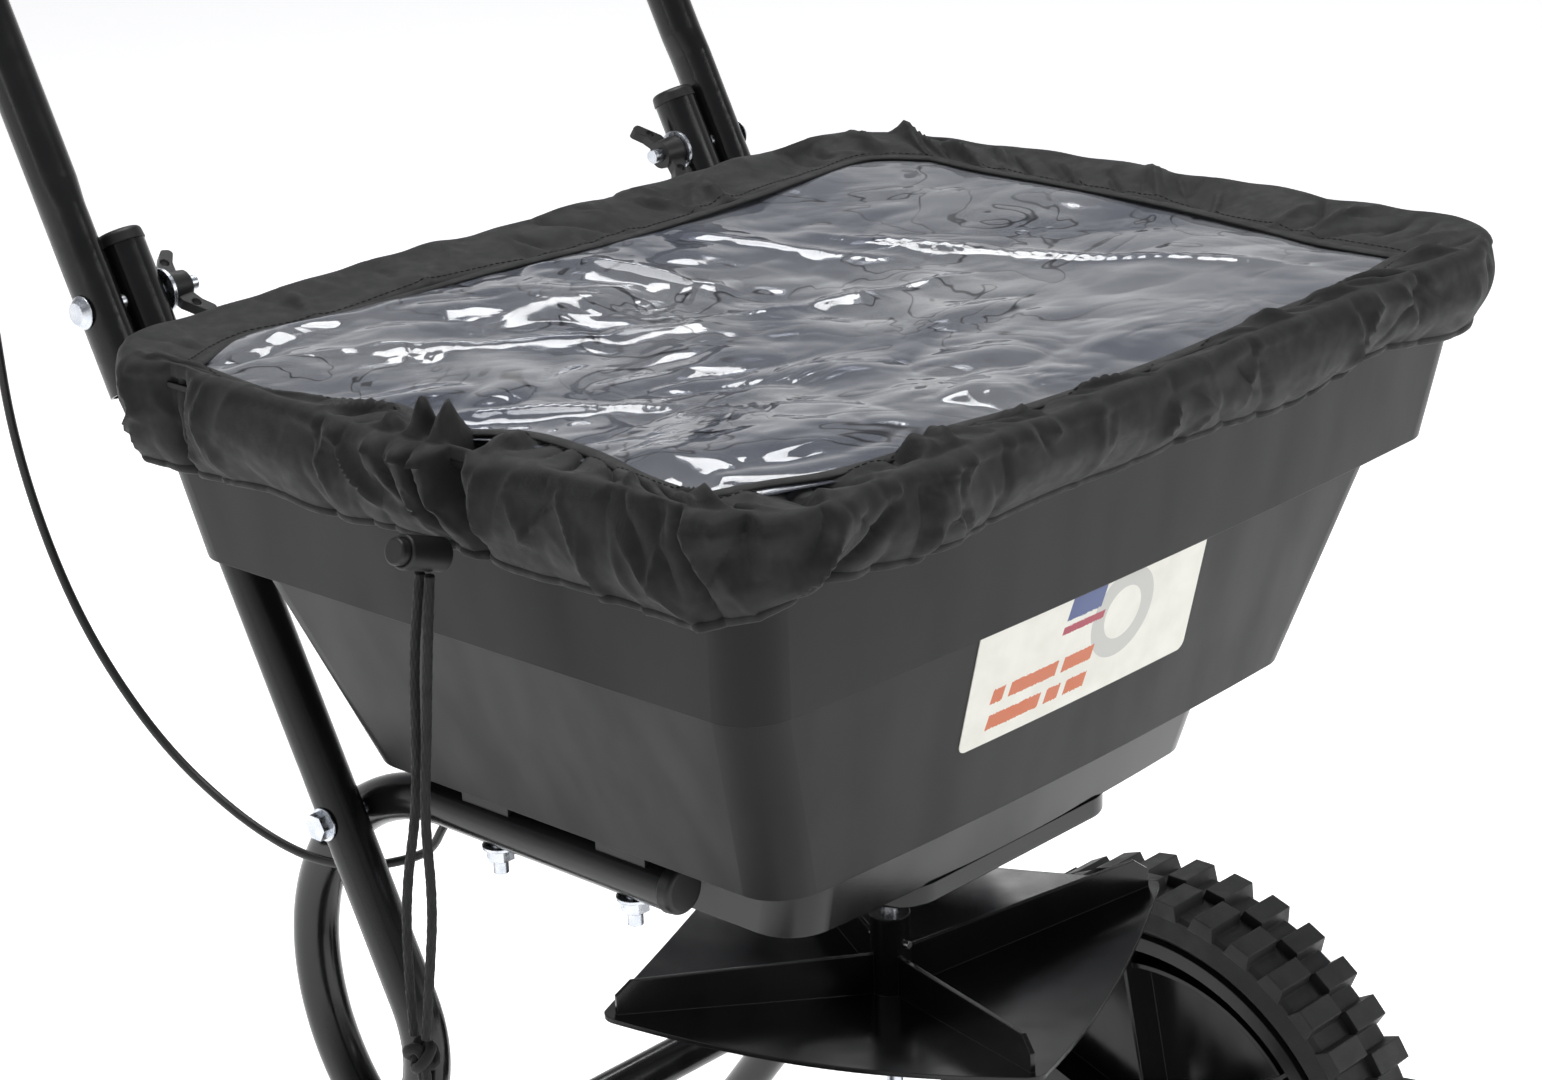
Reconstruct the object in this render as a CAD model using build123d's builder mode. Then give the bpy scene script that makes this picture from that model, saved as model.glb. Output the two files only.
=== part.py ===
from build123d import *
import os
from math import acos, atan2, cos, degrees, hypot, pi, radians, sin, tan

# Walk-behind rotary spreader. Millimetres, +Z up, ground at z = 0, travel towards -Y, operator at +Y.
# Heights are above the ground. Lengths along Y are measured from the hopper's centre line, and HOPPER_Y
# moves them into the part's frame, whose origin is the middle of the footprint box.
HOPPER_Y = -166.9

# Tubes and fasteners
TUBE_R = 12.5
TUBE_WALL = 1.5
BOLT_R = 4.0
BOLT_HOLE_R = 4.1
GAP = 0.5                                   # between tubes that lie side by side
RUNNING = 0.05                              # radial clearance of a shaft in its bore

# Wheels, axle and spinner
WHEEL_R = 168.0
WHEEL_INNER_X = 223.0
WHEEL_OUTER_X = 284.0
HUB_INNER_X = 194.0
HUB_OUTER_X = 288.0
LUGS = 38
AXLE_R = 6.0
AXLE_Y = -31.0
AXLE_Z = WHEEL_R
SHAFT_R = 4.5
SPINNER_Z = 363.0
SPINNER_TIP_R = 167.0
SPINNER_RISE = 9.3                          # degrees
SPINNER_TURN = -22.5
VANE_H = 20.0

# Bevel gears: the large one on the axle, the small one on the spinner's shaft
GEAR_MODULE = 2.5
CROWN_TEETH = 32
PINION_TEETH = 12
FACE_WIDTH = 10.0

# Hopper: half lengths along X and Y at each level
WALL = 3.0
RIM_Z, RIM_X, RIM_Y = 742.0, 282.0, 210.0
BAND_Z, BAND_X, BAND_Y = 642.0, 265.0, 193.0
TIER_X, TIER_Y = 249.0, 175.5
LEDGE_Z, LEDGE_X, LEDGE_Y = 523.0, 203.0, 146.0
BASE_TOP_X, BASE_TOP_Y = 166.0, 126.0
BASE_Z, BASE_X, BASE_Y = 477.5, 160.0, 112.0
CORNER_R = 25.0
FRONT_BOW = 7.0
FLANGE = 6.0
LABEL_X, LABEL_HALF = -8.0, 88.0
LABEL_LOW, LABEL_HIGH = 568.0, 639.0
LABEL_T = 0.5
OUTLET_R = 13.0
OUTLET_Y = 25.0
OUTLET_XS = (-36.0, 0.0, 36.0)

# Gate under the hopper
HOUSING_X, HOUSING_FRONT, HOUSING_BACK, HOUSING_H = 86.0, -119.0, 104.0, 11.0
GATE_T = 1.5
GATE_X, GATE_FRONT, GATE_BACK = 70.0, 8.0, 84.0
GATE_Z = BASE_Z - 3.0
TONGUE_END = 116.0
WIRE_X = -58.0
ANCHOR_Y = 156.0

# Frame loops under the hopper, seen from the side
RAIL_X = 180.0
RAIL_Z = 499.0
RAIL_FRONT_Y = -54.0
LOOP_Y, LOOP_Z, LOOP_R = 108.0, 377.0, 122.0
SADDLE_YS = (72.0, -25.0)
BRACKET_R = 19.0

# Leg tubes run outboard of the loops and lean back both ways from one bend
LEG_X = RAIL_X + 2 * TUBE_R + GAP
LEG_LEAN = 26.3                             # degrees from vertical above the bend
FOOT_LEAN = 37.0                            # degrees from vertical below it
BEND_Y, BEND_Z, BEND_R = 101.7, 357.0, 64.0
LEG_TOP_Z = 771.0
LEG_END_Z = 14.0
CROSS_Z = 215.5
UPPER_BOLT_Z = 484.9
LOWER_BOLT_Z = 270.4

# Upper handle
HANDLE_X = LEG_X + 2 * TUBE_R + GAP
PIVOT_Z = 745.0
HANDLE_STUB = 46.0
FLAT_LENGTH = 100.0                         # flattened end of the handle, up from its lower end
HANDLE_STRAIGHT = 290.0
HANDLE_TURN = 30.0                          # degrees the handle bends back near the top
HANDLE_BEND_R = 90.0
HANDLE_END = 150.0
HANDLE_CORNER_R = 70.0
GRIP_R = 16.0
GRIP_LENGTH = 300.0

# Control lever on the handle
LEVER_UP = 236.0                            # along the handle from its pivot
PLATE_X = -(HANDLE_X - TUBE_R - 1.0)
LEVER_PLATE_T = 3.0
LEVER_LENGTH = 115.0
LEVER_REST = 75.0                           # degrees from +Y
ARM_R = 24.5                                # from the lever's pivot to the wire's pin
ARM_REST = -30.0

# Cover
COVER_Z = 742.3
SKIRT_Z = 690.0
SKIRT_X, SKIRT_Y = 294.0, 222.0
CLOTH = 3.0
OPENING_X, OPENING_Y = 252.0, 168.0
WINDOW_X, WINDOW_Y = 262.0, 178.0
WINDOW_T = 1.2
LOCK_X, LOCK_Y, LOCK_Z = -308.4, -38.0, 704.0
LOCK_R = 8.0
LOCK_L = 24.0
LOCK_TILT = 19.0                            # degrees the lock's outer end stands up
BUTTON_TRAVEL = 4.0
CORD_R = 2.25
CABLE_R = 2.5


def leg_y(z):
    """Y of a leg tube's centre line at height z."""
    lean = LEG_LEAN if z > BEND_Z else FOOT_LEAN
    return BEND_Y + abs(z - BEND_Z) * tan(radians(lean))


def handle_point(along, back=0.0):
    """(y, z) of a point on the handle: along it from its pivot, and square to it towards the operator."""
    lean = radians(LEG_LEAN)
    y = leg_y(PIVOT_Z) + along * sin(lean) + back * cos(lean)
    return (y, PIVOT_Z + along * cos(lean) - back * sin(lean))


def level(z, y=0.0, x=0.0):
    """Horizontal plane at height z."""
    return Plane((x, HOPPER_Y + y, z))


def side(x):
    """Plane across X; its own axes are Y, from the hopper's centre line, and Z."""
    return Plane((x, HOPPER_Y, 0), x_dir=(0, 1, 0), z_dir=(1, 0, 0))


def at(x, y, z):
    """A point of the part's frame, from a Y measured at the hopper's centre line."""
    return (x, HOPPER_Y + y, z)


def save(part, name):
    part.label = name
    export_step(part, f"parts/{name}.step")


def tube_section(radius=TUBE_R, wall=TUBE_WALL):
    Circle(radius)
    Circle(radius - wall, mode=Mode.SUBTRACT)


def cross_holes(x, places, radius=BOLT_HOLE_R):
    """Holes along X through a tube at the given (y, z) places."""
    with Locations([at(x, y, z) for y, z in places]):
        Cylinder(radius, 4 * TUBE_R, rotation=(0, 90, 0), mode=Mode.SUBTRACT)


def cross_disc(x_low, x_high, radius, y, z, hole=0.0, sides=0):
    """A washer, nut, head or shank along X, added to the part being built."""
    with BuildSketch(side(x_low)) as disc:
        with Locations((y, z)):
            if sides:
                RegularPolygon(radius, sides)
            else:
                Circle(radius)
            if hole:
                Circle(hole, mode=Mode.SUBTRACT)
    extrude(disc.sketch, amount=x_high - x_low)


# ---------------------------------------------------------------- side loops and legs
def side_frame(sign):
    """Rail under the hopper's ledge, open loop behind it and run down to the axle, in one tube."""
    to_axle = atan2(AXLE_Z - LOOP_Z, AXLE_Y - LOOP_Y)
    reach = hypot(AXLE_Z - LOOP_Z, AXLE_Y - LOOP_Y)
    loop_end = degrees(to_axle + acos(LOOP_R / reach))
    straight = (reach ** 2 - LOOP_R ** 2) ** 0.5 - BRACKET_R + 4.0
    with BuildPart() as tube:
        with BuildLine(side(sign * RAIL_X)) as path:
            rail = Line((RAIL_FRONT_Y, RAIL_Z), (LOOP_Y, RAIL_Z))
            CenterArc((LOOP_Y, LOOP_Z), LOOP_R, 90, loop_end - 90)
            end_y = LOOP_Y + LOOP_R * cos(radians(loop_end))
            end_z = LOOP_Z + LOOP_R * sin(radians(loop_end))
            run = (sin(radians(loop_end)), -cos(radians(loop_end)))
            Line((end_y, end_z), (end_y + straight * run[0], end_z + straight * run[1]))
        with BuildSketch(Plane(rail @ 0, z_dir=rail % 0)):
            tube_section()
        sweep(path=path.wire())
        cross_holes(sign * RAIL_X, [(leg_y(z), z) for z in (UPPER_BOLT_Z, LOWER_BOLT_Z)])
        with Locations([at(sign * RAIL_X, y, RAIL_Z) for y in SADDLE_YS]):
            Cylinder(BOLT_HOLE_R, 4 * TUBE_R, mode=Mode.SUBTRACT)
        with Locations(at(sign * RAIL_X, AXLE_Y, AXLE_Z)):
            Cylinder(BRACKET_R, 4 * TUBE_R, rotation=(0, 90, 0), mode=Mode.SUBTRACT)
    return tube.part


def leg_tube(sign):
    with BuildPart() as tube:
        with BuildLine(side(sign * LEG_X)) as path:
            FilletPolyline(
                (leg_y(LEG_TOP_Z), LEG_TOP_Z), (BEND_Y, BEND_Z), (leg_y(LEG_END_Z), LEG_END_Z), radius=BEND_R
            )
        with BuildSketch(Plane(path.wire() @ 0, z_dir=path.wire() % 0)):
            tube_section()
        sweep(path=path.wire())
        heights = (UPPER_BOLT_Z, LOWER_BOLT_Z, PIVOT_Z, CROSS_Z)
        cross_holes(sign * LEG_X, [(leg_y(z), z) for z in heights])
    return tube.part


for sign, hand in ((-1, "right"), (1, "left")):
    save(side_frame(sign), f"side_frame_{hand}")
    save(leg_tube(sign), f"leg_tube_{hand}")

# Lateral tube between the legs, plugged at both ends where the bolts screw in
with BuildPart() as cross_tube:
    half = LEG_X - TUBE_R
    with BuildSketch(side(-half)):
        with Locations((leg_y(CROSS_Z), CROSS_Z)):
            tube_section()
    extrude(amount=2 * half)
    for end in (-half, half - 20):
        cross_disc(end, end + 20, TUBE_R - TUBE_WALL, leg_y(CROSS_Z), CROSS_Z, BOLT_R + 0.02)
save(cross_tube.part, "cross_tube")

# Rounded plastic caps in the open tube ends
with BuildPart() as caps:
    rail_end = Plane(at(RAIL_X, RAIL_FRONT_Y, RAIL_Z), z_dir=(0, -1, 0))
    lean = radians(LEG_LEAN)
    leg_top = Plane(at(LEG_X, leg_y(LEG_TOP_Z), LEG_TOP_Z), z_dir=(0, sin(lean), cos(lean)))
    for end in (rail_end, leg_top):
        with BuildSketch(end):
            Circle(TUBE_R + 0.6)
        extrude(amount=7, taper=6)
        with BuildSketch(end):
            Circle(TUBE_R - TUBE_WALL - 0.05)
        extrude(amount=-14)
    fillet(caps.faces().filter_by(GeomType.PLANE).sort_by(Axis.Z)[-1:].edges(), 3)
    front = caps.faces().filter_by(GeomType.PLANE).sort_by(Axis.Y)[:1]
    fillet(front.edges(), 3)
    mirror(about=Plane.YZ)
save(caps.part, "tube_caps")

# Rubber boots at the lower ends of the legs, flat on the ground
with BuildPart() as feet:
    lean = radians(FOOT_LEAN)
    sole = Plane(at(LEG_X, leg_y(LEG_END_Z), LEG_END_Z), z_dir=(0, -sin(lean), cos(lean)))
    with BuildSketch(sole.offset(-30)):
        Circle(TUBE_R + 4)
    extrude(amount=75)
    with BuildSketch(sole):
        Circle(TUBE_R + 0.05)
    extrude(amount=60, mode=Mode.SUBTRACT)
    split(bisect_by=Plane.XY, keep=Keep.TOP)
    mirror(about=Plane.YZ)
save(feet.part, "leg_feet")

# Bolts through both tubes where legs and loops cross, and into the lateral tube
crossings = [(leg_y(z), z) for z in (UPPER_BOLT_Z, LOWER_BOLT_Z)]
with BuildPart() as frame_bolts:
    for y, z in crossings:
        cross_disc(RAIL_X - TUBE_R - 13, LEG_X + TUBE_R, BOLT_R, y, z)
        cross_disc(LEG_X + TUBE_R, LEG_X + TUBE_R + 1, 9, y, z)
        cross_disc(LEG_X + TUBE_R + 1, LEG_X + TUBE_R + 6.3, 7.5, y, z, sides=6)
    cross_disc(LEG_X - TUBE_R - 18, LEG_X + TUBE_R, BOLT_R, leg_y(CROSS_Z), CROSS_Z)
    cross_disc(LEG_X + TUBE_R, LEG_X + TUBE_R + 5.3, 7.5, leg_y(CROSS_Z), CROSS_Z, sides=6)
    mirror(about=Plane.YZ)
save(frame_bolts.part, "frame_bolts")

with BuildPart() as frame_nuts:
    for y, z in crossings:
        cross_disc(RAIL_X - TUBE_R - 8, RAIL_X - TUBE_R, 7.5, y, z, BOLT_R + 0.02, 6)
    mirror(about=Plane.YZ)
save(frame_nuts.part, "frame_nuts")

# Plates that carry the axle at the loops' ends, each with a flanged nylon bush
with BuildPart() as axle_brackets:
    cross_disc(RAIL_X - 3, RAIL_X + 3, BRACKET_R - 0.05, AXLE_Y, AXLE_Z, 9)
    cross_disc(RAIL_X - 8, RAIL_X + 8, 13, AXLE_Y, AXLE_Z, 9)
    mirror(about=Plane.YZ)
save(axle_brackets.part, "axle_brackets")

with BuildPart() as axle_bushes:
    cross_disc(RAIL_X - 8, RAIL_X + 8, 8.95, AXLE_Y, AXLE_Z, AXLE_R + RUNNING)
    cross_disc(RAIL_X + 8, RAIL_X + 10.5, 13, AXLE_Y, AXLE_Z, AXLE_R + RUNNING)
    mirror(about=Plane.YZ)
save(axle_bushes.part, "axle_bushes")


# ---------------------------------------------------------------- hopper
def tier(z, half_x, half_y, inset=0.0):
    """Closed outline of the hopper at one level: bowed front and back, straight sides, round corners."""
    x, y = half_x - inset, half_y - inset
    with BuildSketch(level(z)) as outline:
        with BuildLine():
            front = ThreePointArc((-x, -y), (0, -y - FRONT_BOW), (x, -y))
            right = Line(front @ 1, (x, y))
            back = ThreePointArc(right @ 1, (0, y + FRONT_BOW), (-x, y))
            Line(back @ 1, front @ 0)
        make_face()
        fillet(outline.vertices(), CORNER_R - inset)
    return outline.sketch


def slab(z, height, half_x, half_y, inset=0.0, mode=Mode.ADD):
    extrude(tier(z, half_x, half_y, inset), amount=height, mode=mode)


with BuildPart() as hopper:
    loft([tier(RIM_Z, RIM_X, RIM_Y), tier(BAND_Z, BAND_X, BAND_Y)])
    loft([tier(BAND_Z, TIER_X, TIER_Y), tier(LEDGE_Z, LEDGE_X, LEDGE_Y)])
    step = tier(BAND_Z + WALL, BAND_X, BAND_Y, WALL)
    loft([tier(RIM_Z, RIM_X, RIM_Y, WALL), step], mode=Mode.SUBTRACT)
    floor = tier(LEDGE_Z + WALL, LEDGE_X, LEDGE_Y, WALL)
    loft([tier(BAND_Z + WALL, TIER_X, TIER_Y, WALL), floor], mode=Mode.SUBTRACT)
    slab(LEDGE_Z, WALL, BASE_TOP_X, BASE_TOP_Y, WALL, Mode.SUBTRACT)
    slab(RIM_Z - WALL, WALL, RIM_X + FLANGE, RIM_Y + FLANGE)
    slab(RIM_Z - WALL, WALL, RIM_X, RIM_Y, WALL, Mode.SUBTRACT)
    with Locations([at(sign * RAIL_X, y, LEDGE_Z) for sign in (-1, 1) for y in SADDLE_YS]):
        Cylinder(BOLT_HOLE_R, 4 * WALL, mode=Mode.SUBTRACT)
save(hopper.part, "hopper")

# Glossy pan that closes the hopper's bottom, with the outlets and the shaft's opening in its floor
with BuildPart() as hopper_base:
    loft([tier(LEDGE_Z, BASE_TOP_X, BASE_TOP_Y), tier(BASE_Z, BASE_X, BASE_Y)])
    mouth = tier(LEDGE_Z, BASE_TOP_X, BASE_TOP_Y, WALL)
    loft([mouth, tier(BASE_Z + WALL, BASE_X, BASE_Y, WALL)], mode=Mode.SUBTRACT)
    with Locations([at(x, OUTLET_Y, BASE_Z) for x in OUTLET_XS]):
        Cylinder(OUTLET_R, 4 * WALL, mode=Mode.SUBTRACT)
    with Locations(at(0, AXLE_Y, BASE_Z)):
        Cylinder(10, 4 * WALL, mode=Mode.SUBTRACT)
save(hopper_base.part, "hopper_base")

# Label stuck on the middle tier's front face, which it follows
with BuildPart() as label:
    loft([tier(BAND_Z, TIER_X, TIER_Y, -LABEL_T), tier(LEDGE_Z, LEDGE_X, LEDGE_Y, -LABEL_T)])
    wall_face = [tier(BAND_Z, TIER_X, TIER_Y, -0.01), tier(LEDGE_Z, LEDGE_X, LEDGE_Y, -0.01)]
    loft(wall_face, mode=Mode.SUBTRACT)
    label_mid = at(LABEL_X, 0, (LABEL_LOW + LABEL_HIGH) / 2)
    with BuildSketch(Plane(label_mid, x_dir=(1, 0, 0), z_dir=(0, -1, 0))):
        RectangleRounded(2 * LABEL_HALF, LABEL_HIGH - LABEL_LOW, 5)
    extrude(amount=300, mode=Mode.INTERSECT)
save(label.part, "hopper_label")

# Fasteners that hold the hopper's ledge on the rails, with moulded spacers between
with BuildPart() as spacers:
    for y in SADDLE_YS:
        with BuildSketch(level(RAIL_Z + TUBE_R - 3.0, y, RAIL_X)):
            Rectangle(16, 34)
            Circle(BOLT_HOLE_R, mode=Mode.SUBTRACT)
        extrude(amount=LEDGE_Z - RAIL_Z - TUBE_R + 3.0)
    with Locations(at(RAIL_X, 0, RAIL_Z)):
        Cylinder(TUBE_R, 400, rotation=(90, 0, 0), mode=Mode.SUBTRACT)
    mirror(about=Plane.YZ)
save(spacers.part, "rail_spacers")

with BuildPart() as hopper_bolts:
    for y in SADDLE_YS:
        with BuildSketch(level(471.0, y, RAIL_X)):
            Circle(BOLT_R)
        extrude(amount=LEDGE_Z + WALL - 471.0)
        with BuildSketch(level(LEDGE_Z + WALL, y, RAIL_X)):
            Circle(9)
        extrude(amount=3.5, taper=25)
    mirror(about=Plane.YZ)
save(hopper_bolts.part, "hopper_bolts")

with BuildPart() as hopper_nuts:
    for y in SADDLE_YS:
        under = RAIL_Z - TUBE_R
        with BuildSketch(level(under, y, RAIL_X)):
            Circle(9)
            Circle(BOLT_R + 0.02, mode=Mode.SUBTRACT)
        extrude(amount=-1.6)
        with BuildSketch(level(under - 1.6, y, RAIL_X)):
            RegularPolygon(7.5, 6)
            Circle(BOLT_R + 0.02, mode=Mode.SUBTRACT)
        extrude(amount=-6.4)
    mirror(about=Plane.YZ)
save(hopper_nuts.part, "hopper_nuts")

# ---------------------------------------------------------------- gate
with BuildPart() as gate_housing:
    middle = (HOUSING_FRONT + HOUSING_BACK) / 2
    with BuildSketch(level(BASE_Z, middle)):
        RectangleRounded(2 * HOUSING_X, HOUSING_BACK - HOUSING_FRONT, 22)
    extrude(amount=-HOUSING_H)
    with BuildSketch(level(GATE_Z + GATE_T + 0.5, (GATE_FRONT - 3 + HOUSING_BACK) / 2)):
        Rectangle(2 * GATE_X + 1, HOUSING_BACK - GATE_FRONT + 4)
    extrude(amount=-GATE_T - 1, mode=Mode.SUBTRACT)
    with Locations([at(x, OUTLET_Y, BASE_Z) for x in OUTLET_XS]):
        Cylinder(OUTLET_R, 4 * HOUSING_H, mode=Mode.SUBTRACT)
    with Locations(at(0, AXLE_Y, BASE_Z)):
        Cylinder(9, 4 * HOUSING_H, mode=Mode.SUBTRACT)
    edges = gate_housing.faces().sort_by(Axis.Z)[0].outer_wire().edges()
    fillet(edges, 2)
save(gate_housing.part, "gate_housing")

with BuildPart() as gate_plate:
    with BuildSketch(level(GATE_Z, (GATE_FRONT + GATE_BACK) / 2)):
        Rectangle(2 * GATE_X, GATE_BACK - GATE_FRONT)
    extrude(amount=GATE_T)
    with BuildSketch(level(GATE_Z, (GATE_BACK + TONGUE_END) / 2, WIRE_X)):
        Rectangle(16, TONGUE_END - GATE_BACK)
    extrude(amount=GATE_T)
    with Locations(at(WIRE_X, TONGUE_END - 6, GATE_Z)):
        Cylinder(2, 10, mode=Mode.SUBTRACT)
save(gate_plate.part, "gate_plate")

# Bare wire from the cable's end to a pin in the gate's tongue
WIRE_Z = GATE_Z - 8.0
PIN_Y = TONGUE_END - 6.0
with BuildPart() as gate_wire:
    with BuildSketch(Plane(at(WIRE_X, PIN_Y, WIRE_Z), z_dir=(0, 1, 0))):
        Circle(0.8)
    extrude(amount=ANCHOR_Y - 5.1 - PIN_Y)
    with BuildSketch(level(WIRE_Z - 3, PIN_Y, WIRE_X)):
        Circle(1.95)
    extrude(amount=GATE_Z + GATE_T + 0.4 - WIRE_Z + 3)
    with BuildSketch(level(WIRE_Z - 3, PIN_Y, WIRE_X)):
        Circle(3.6)
    extrude(amount=6)
save(gate_wire.part, "gate_wire")

# Bracket behind the housing that stops the cable's outer sleeve
with BuildPart() as cable_bracket:
    with BuildSketch(level(BASE_Z - HOUSING_H, (60 + ANCHOR_Y) / 2, WIRE_X + 26)):
        Rectangle(16, ANCHOR_Y - 60)
    extrude(amount=-3)
    with BuildSketch(level(BASE_Z - HOUSING_H, ANCHOR_Y - 4, WIRE_X + 13)):
        Rectangle(42, 8)
    extrude(amount=-3)
    with BuildSketch(Plane(at(WIRE_X, ANCHOR_Y - 8, WIRE_Z), z_dir=(0, 1, 0))):
        Circle(6)
    extrude(amount=8)
    with BuildSketch(Plane(at(WIRE_X, ANCHOR_Y - 8, WIRE_Z), z_dir=(0, 1, 0))):
        Circle(4)
    extrude(amount=8, mode=Mode.SUBTRACT)
save(cable_bracket.part, "cable_bracket")

# ---------------------------------------------------------------- gearbox, in two halves
GEARBOX_R = 50.0
GEARBOX_LOW_X, GEARBOX_HIGH_X = -20.0, 34.0
NECK_R = 15.0
NECK_TOP = 262.0
PINION_TOP = AXLE_Z + GEAR_MODULE * CROWN_TEETH / 2 + 12


def gearbox_half(sign):
    """Half of the casing, in front of (-1) or behind (+1) the axle's vertical plane."""
    with BuildPart() as half:
        cross_disc(GEARBOX_LOW_X, GEARBOX_HIGH_X, GEARBOX_R, AXLE_Y, AXLE_Z)
        with BuildSketch(level(AXLE_Z + 20, AXLE_Y)):
            Circle(NECK_R + 8)
        extrude(amount=46, taper=6)
        with BuildSketch(level(AXLE_Z + 20, AXLE_Y)):
            Circle(NECK_R)
        extrude(amount=NECK_TOP - AXLE_Z - 20)
        for x, z in SCREW_PLACES:
            with BuildSketch(Plane(at(x, AXLE_Y, z), z_dir=(0, sign, 0))):
                Circle(7)
            extrude(amount=9)
        hub = (GEARBOX_LOW_X - 8, GEARBOX_HIGH_X + 8)
        cross_disc(hub[0], hub[1], 14, AXLE_Y, AXLE_Z)
        cross_disc(GEARBOX_LOW_X + 3, GEARBOX_HIGH_X - 3, GEARBOX_R - 3, AXLE_Y, AXLE_Z)
        with Locations(at((GEARBOX_LOW_X + GEARBOX_HIGH_X) / 2, AXLE_Y, AXLE_Z)):
            Cylinder(
                GEARBOX_R - 3,
                GEARBOX_HIGH_X - GEARBOX_LOW_X - 6,
                rotation=(0, 90, 0),
                mode=Mode.SUBTRACT,
            )
            Cylinder(AXLE_R + RUNNING, 200, rotation=(0, 90, 0), mode=Mode.SUBTRACT)
        with BuildSketch(level(AXLE_Z + 20, AXLE_Y)):
            Circle(17.5)
        extrude(amount=PINION_TOP - AXLE_Z - 20, mode=Mode.SUBTRACT)
        with BuildSketch(level(AXLE_Z + 20, AXLE_Y)):
            Circle(SHAFT_R + RUNNING)
        extrude(amount=200, mode=Mode.SUBTRACT)
        with Locations([at(x, AXLE_Y, z) for x, z in SCREW_PLACES]):
            Cylinder(2.6, 60, rotation=(90, 0, 0), mode=Mode.SUBTRACT)
        split(bisect_by=Plane(at(0, AXLE_Y, 0), z_dir=(0, sign, 0)), keep=Keep.TOP)
    return half.part


SCREW_PLACES = ((-24.0, AXLE_Z + 38), (38.0, AXLE_Z + 38), (-24.0, AXLE_Z - 38), (38.0, AXLE_Z - 38))
save(gearbox_half(-1), "gearbox_front")
save(gearbox_half(1), "gearbox_rear")

with BuildPart() as gearbox_screws:
    for x, z in SCREW_PLACES:
        with BuildSketch(Plane(at(x, AXLE_Y - 13, z), z_dir=(0, 1, 0))):
            RegularPolygon(4.6, 6)
        extrude(amount=4)
        with BuildSketch(Plane(at(x, AXLE_Y - 9, z), z_dir=(0, 1, 0))):
            Circle(2.5)
        extrude(amount=21)
save(gearbox_screws.part, "gearbox_screws")

# Nylon bush that centres the spinner's shaft under the hopper
with BuildPart() as shaft_bush:
    with BuildSketch(level(BASE_Z - HOUSING_H - 3, AXLE_Y)):
        Circle(13)
        Circle(SHAFT_R + RUNNING, mode=Mode.SUBTRACT)
    extrude(amount=3)
    with BuildSketch(level(BASE_Z - HOUSING_H, AXLE_Y)):
        Circle(8.95)
        Circle(SHAFT_R + RUNNING, mode=Mode.SUBTRACT)
    extrude(amount=HOUSING_H + WALL + 1)
save(shaft_bush.part, "shaft_bush")


# ---------------------------------------------------------------- bevel gears
def bevel_gear(teeth, mate_teeth, bore, back, hub_r, hub_back, phase):
    """Bevel gear about +Z with its cone's tip at the origin; phase turns its first tooth from +X."""
    pitch_r = GEAR_MODULE * teeth / 2
    mate_r = GEAR_MODULE * mate_teeth / 2
    outer = hypot(pitch_r, mate_r)
    inner = outer - FACE_WIDTH
    cone = atan2(pitch_r, mate_r)
    tip_height, root_depth = 0.85 * GEAR_MODULE, 1.2 * GEAR_MODULE
    root_width, tip_width = 0.36 * pi * GEAR_MODULE, 0.18 * pi * GEAR_MODULE

    def on_root_cone(distance):
        depth = root_depth * distance / outer
        return (distance * sin(cone) - depth * cos(cone), distance * cos(cone) + depth * sin(cone))

    low, high = on_root_cone(inner), on_root_cone(outer)
    start = radians(phase)
    along = (sin(cone) * cos(start), sin(cone) * sin(start), cos(cone))
    across = (sin(start), -cos(start), 0)
    with BuildPart() as tooth:
        for distance in (inner, outer):
            size = distance / outer
            with BuildSketch(Plane(tuple(distance * part for part in along), x_dir=across, z_dir=along)):
                with BuildLine():
                    Polyline(
                        (-root_width / 2 * size, -(root_depth + 0.6) * size),
                        (root_width / 2 * size, -(root_depth + 0.6) * size),
                        (tip_width / 2 * size, tip_height * size),
                        (-tip_width / 2 * size, tip_height * size),
                        close=True,
                    )
                make_face()
        loft()
    with BuildPart() as gear:
        with BuildSketch(Plane.XZ):
            with BuildLine():
                Polyline(
                    (bore, low[1]), low, high, (high[0], high[1] + back), (hub_r, high[1] + back),
                    (hub_r, high[1] + back + hub_back), (bore, high[1] + back + hub_back), close=True,
                )
            make_face()
        revolve(axis=Axis.Z)
        with PolarLocations(0, teeth):
            add(tooth.part)
    return gear.part


apex = at(0, AXLE_Y, AXLE_Z)
crown = bevel_gear(CROWN_TEETH, PINION_TEETH, AXLE_R + 0.02, 5.0, 12.0, 0.5, 180 / CROWN_TEETH)
pinion = bevel_gear(PINION_TEETH, CROWN_TEETH, SHAFT_R + 0.02, 2.0, 9.0, 2.0, 0)
save(Plane(apex, x_dir=(0, 0, 1), z_dir=(1, 0, 0)).location * crown, "crown_gear")
save(Plane(apex).location * pinion, "pinion_gear")


# ---------------------------------------------------------------- axle and wheels
WASHER_X = RAIL_X + 10.8
PIN_X = HUB_OUTER_X + 6
DRIVE_PIN_X = HUB_OUTER_X - 9

with BuildPart() as axle:
    cross_disc(-PIN_X - 6, PIN_X + 6, AXLE_R, AXLE_Y, AXLE_Z)
    with Locations([at(x, AXLE_Y, AXLE_Z) for x in (-PIN_X, PIN_X)]):
        Cylinder(1.6, 20, mode=Mode.SUBTRACT)
    with Locations(at(DRIVE_PIN_X, AXLE_Y, AXLE_Z)):
        Cylinder(2.5, 20, mode=Mode.SUBTRACT)
    chamfer(axle.faces().filter_by(Axis.X).edges(), 1)
save(axle.part, "axle")

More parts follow.
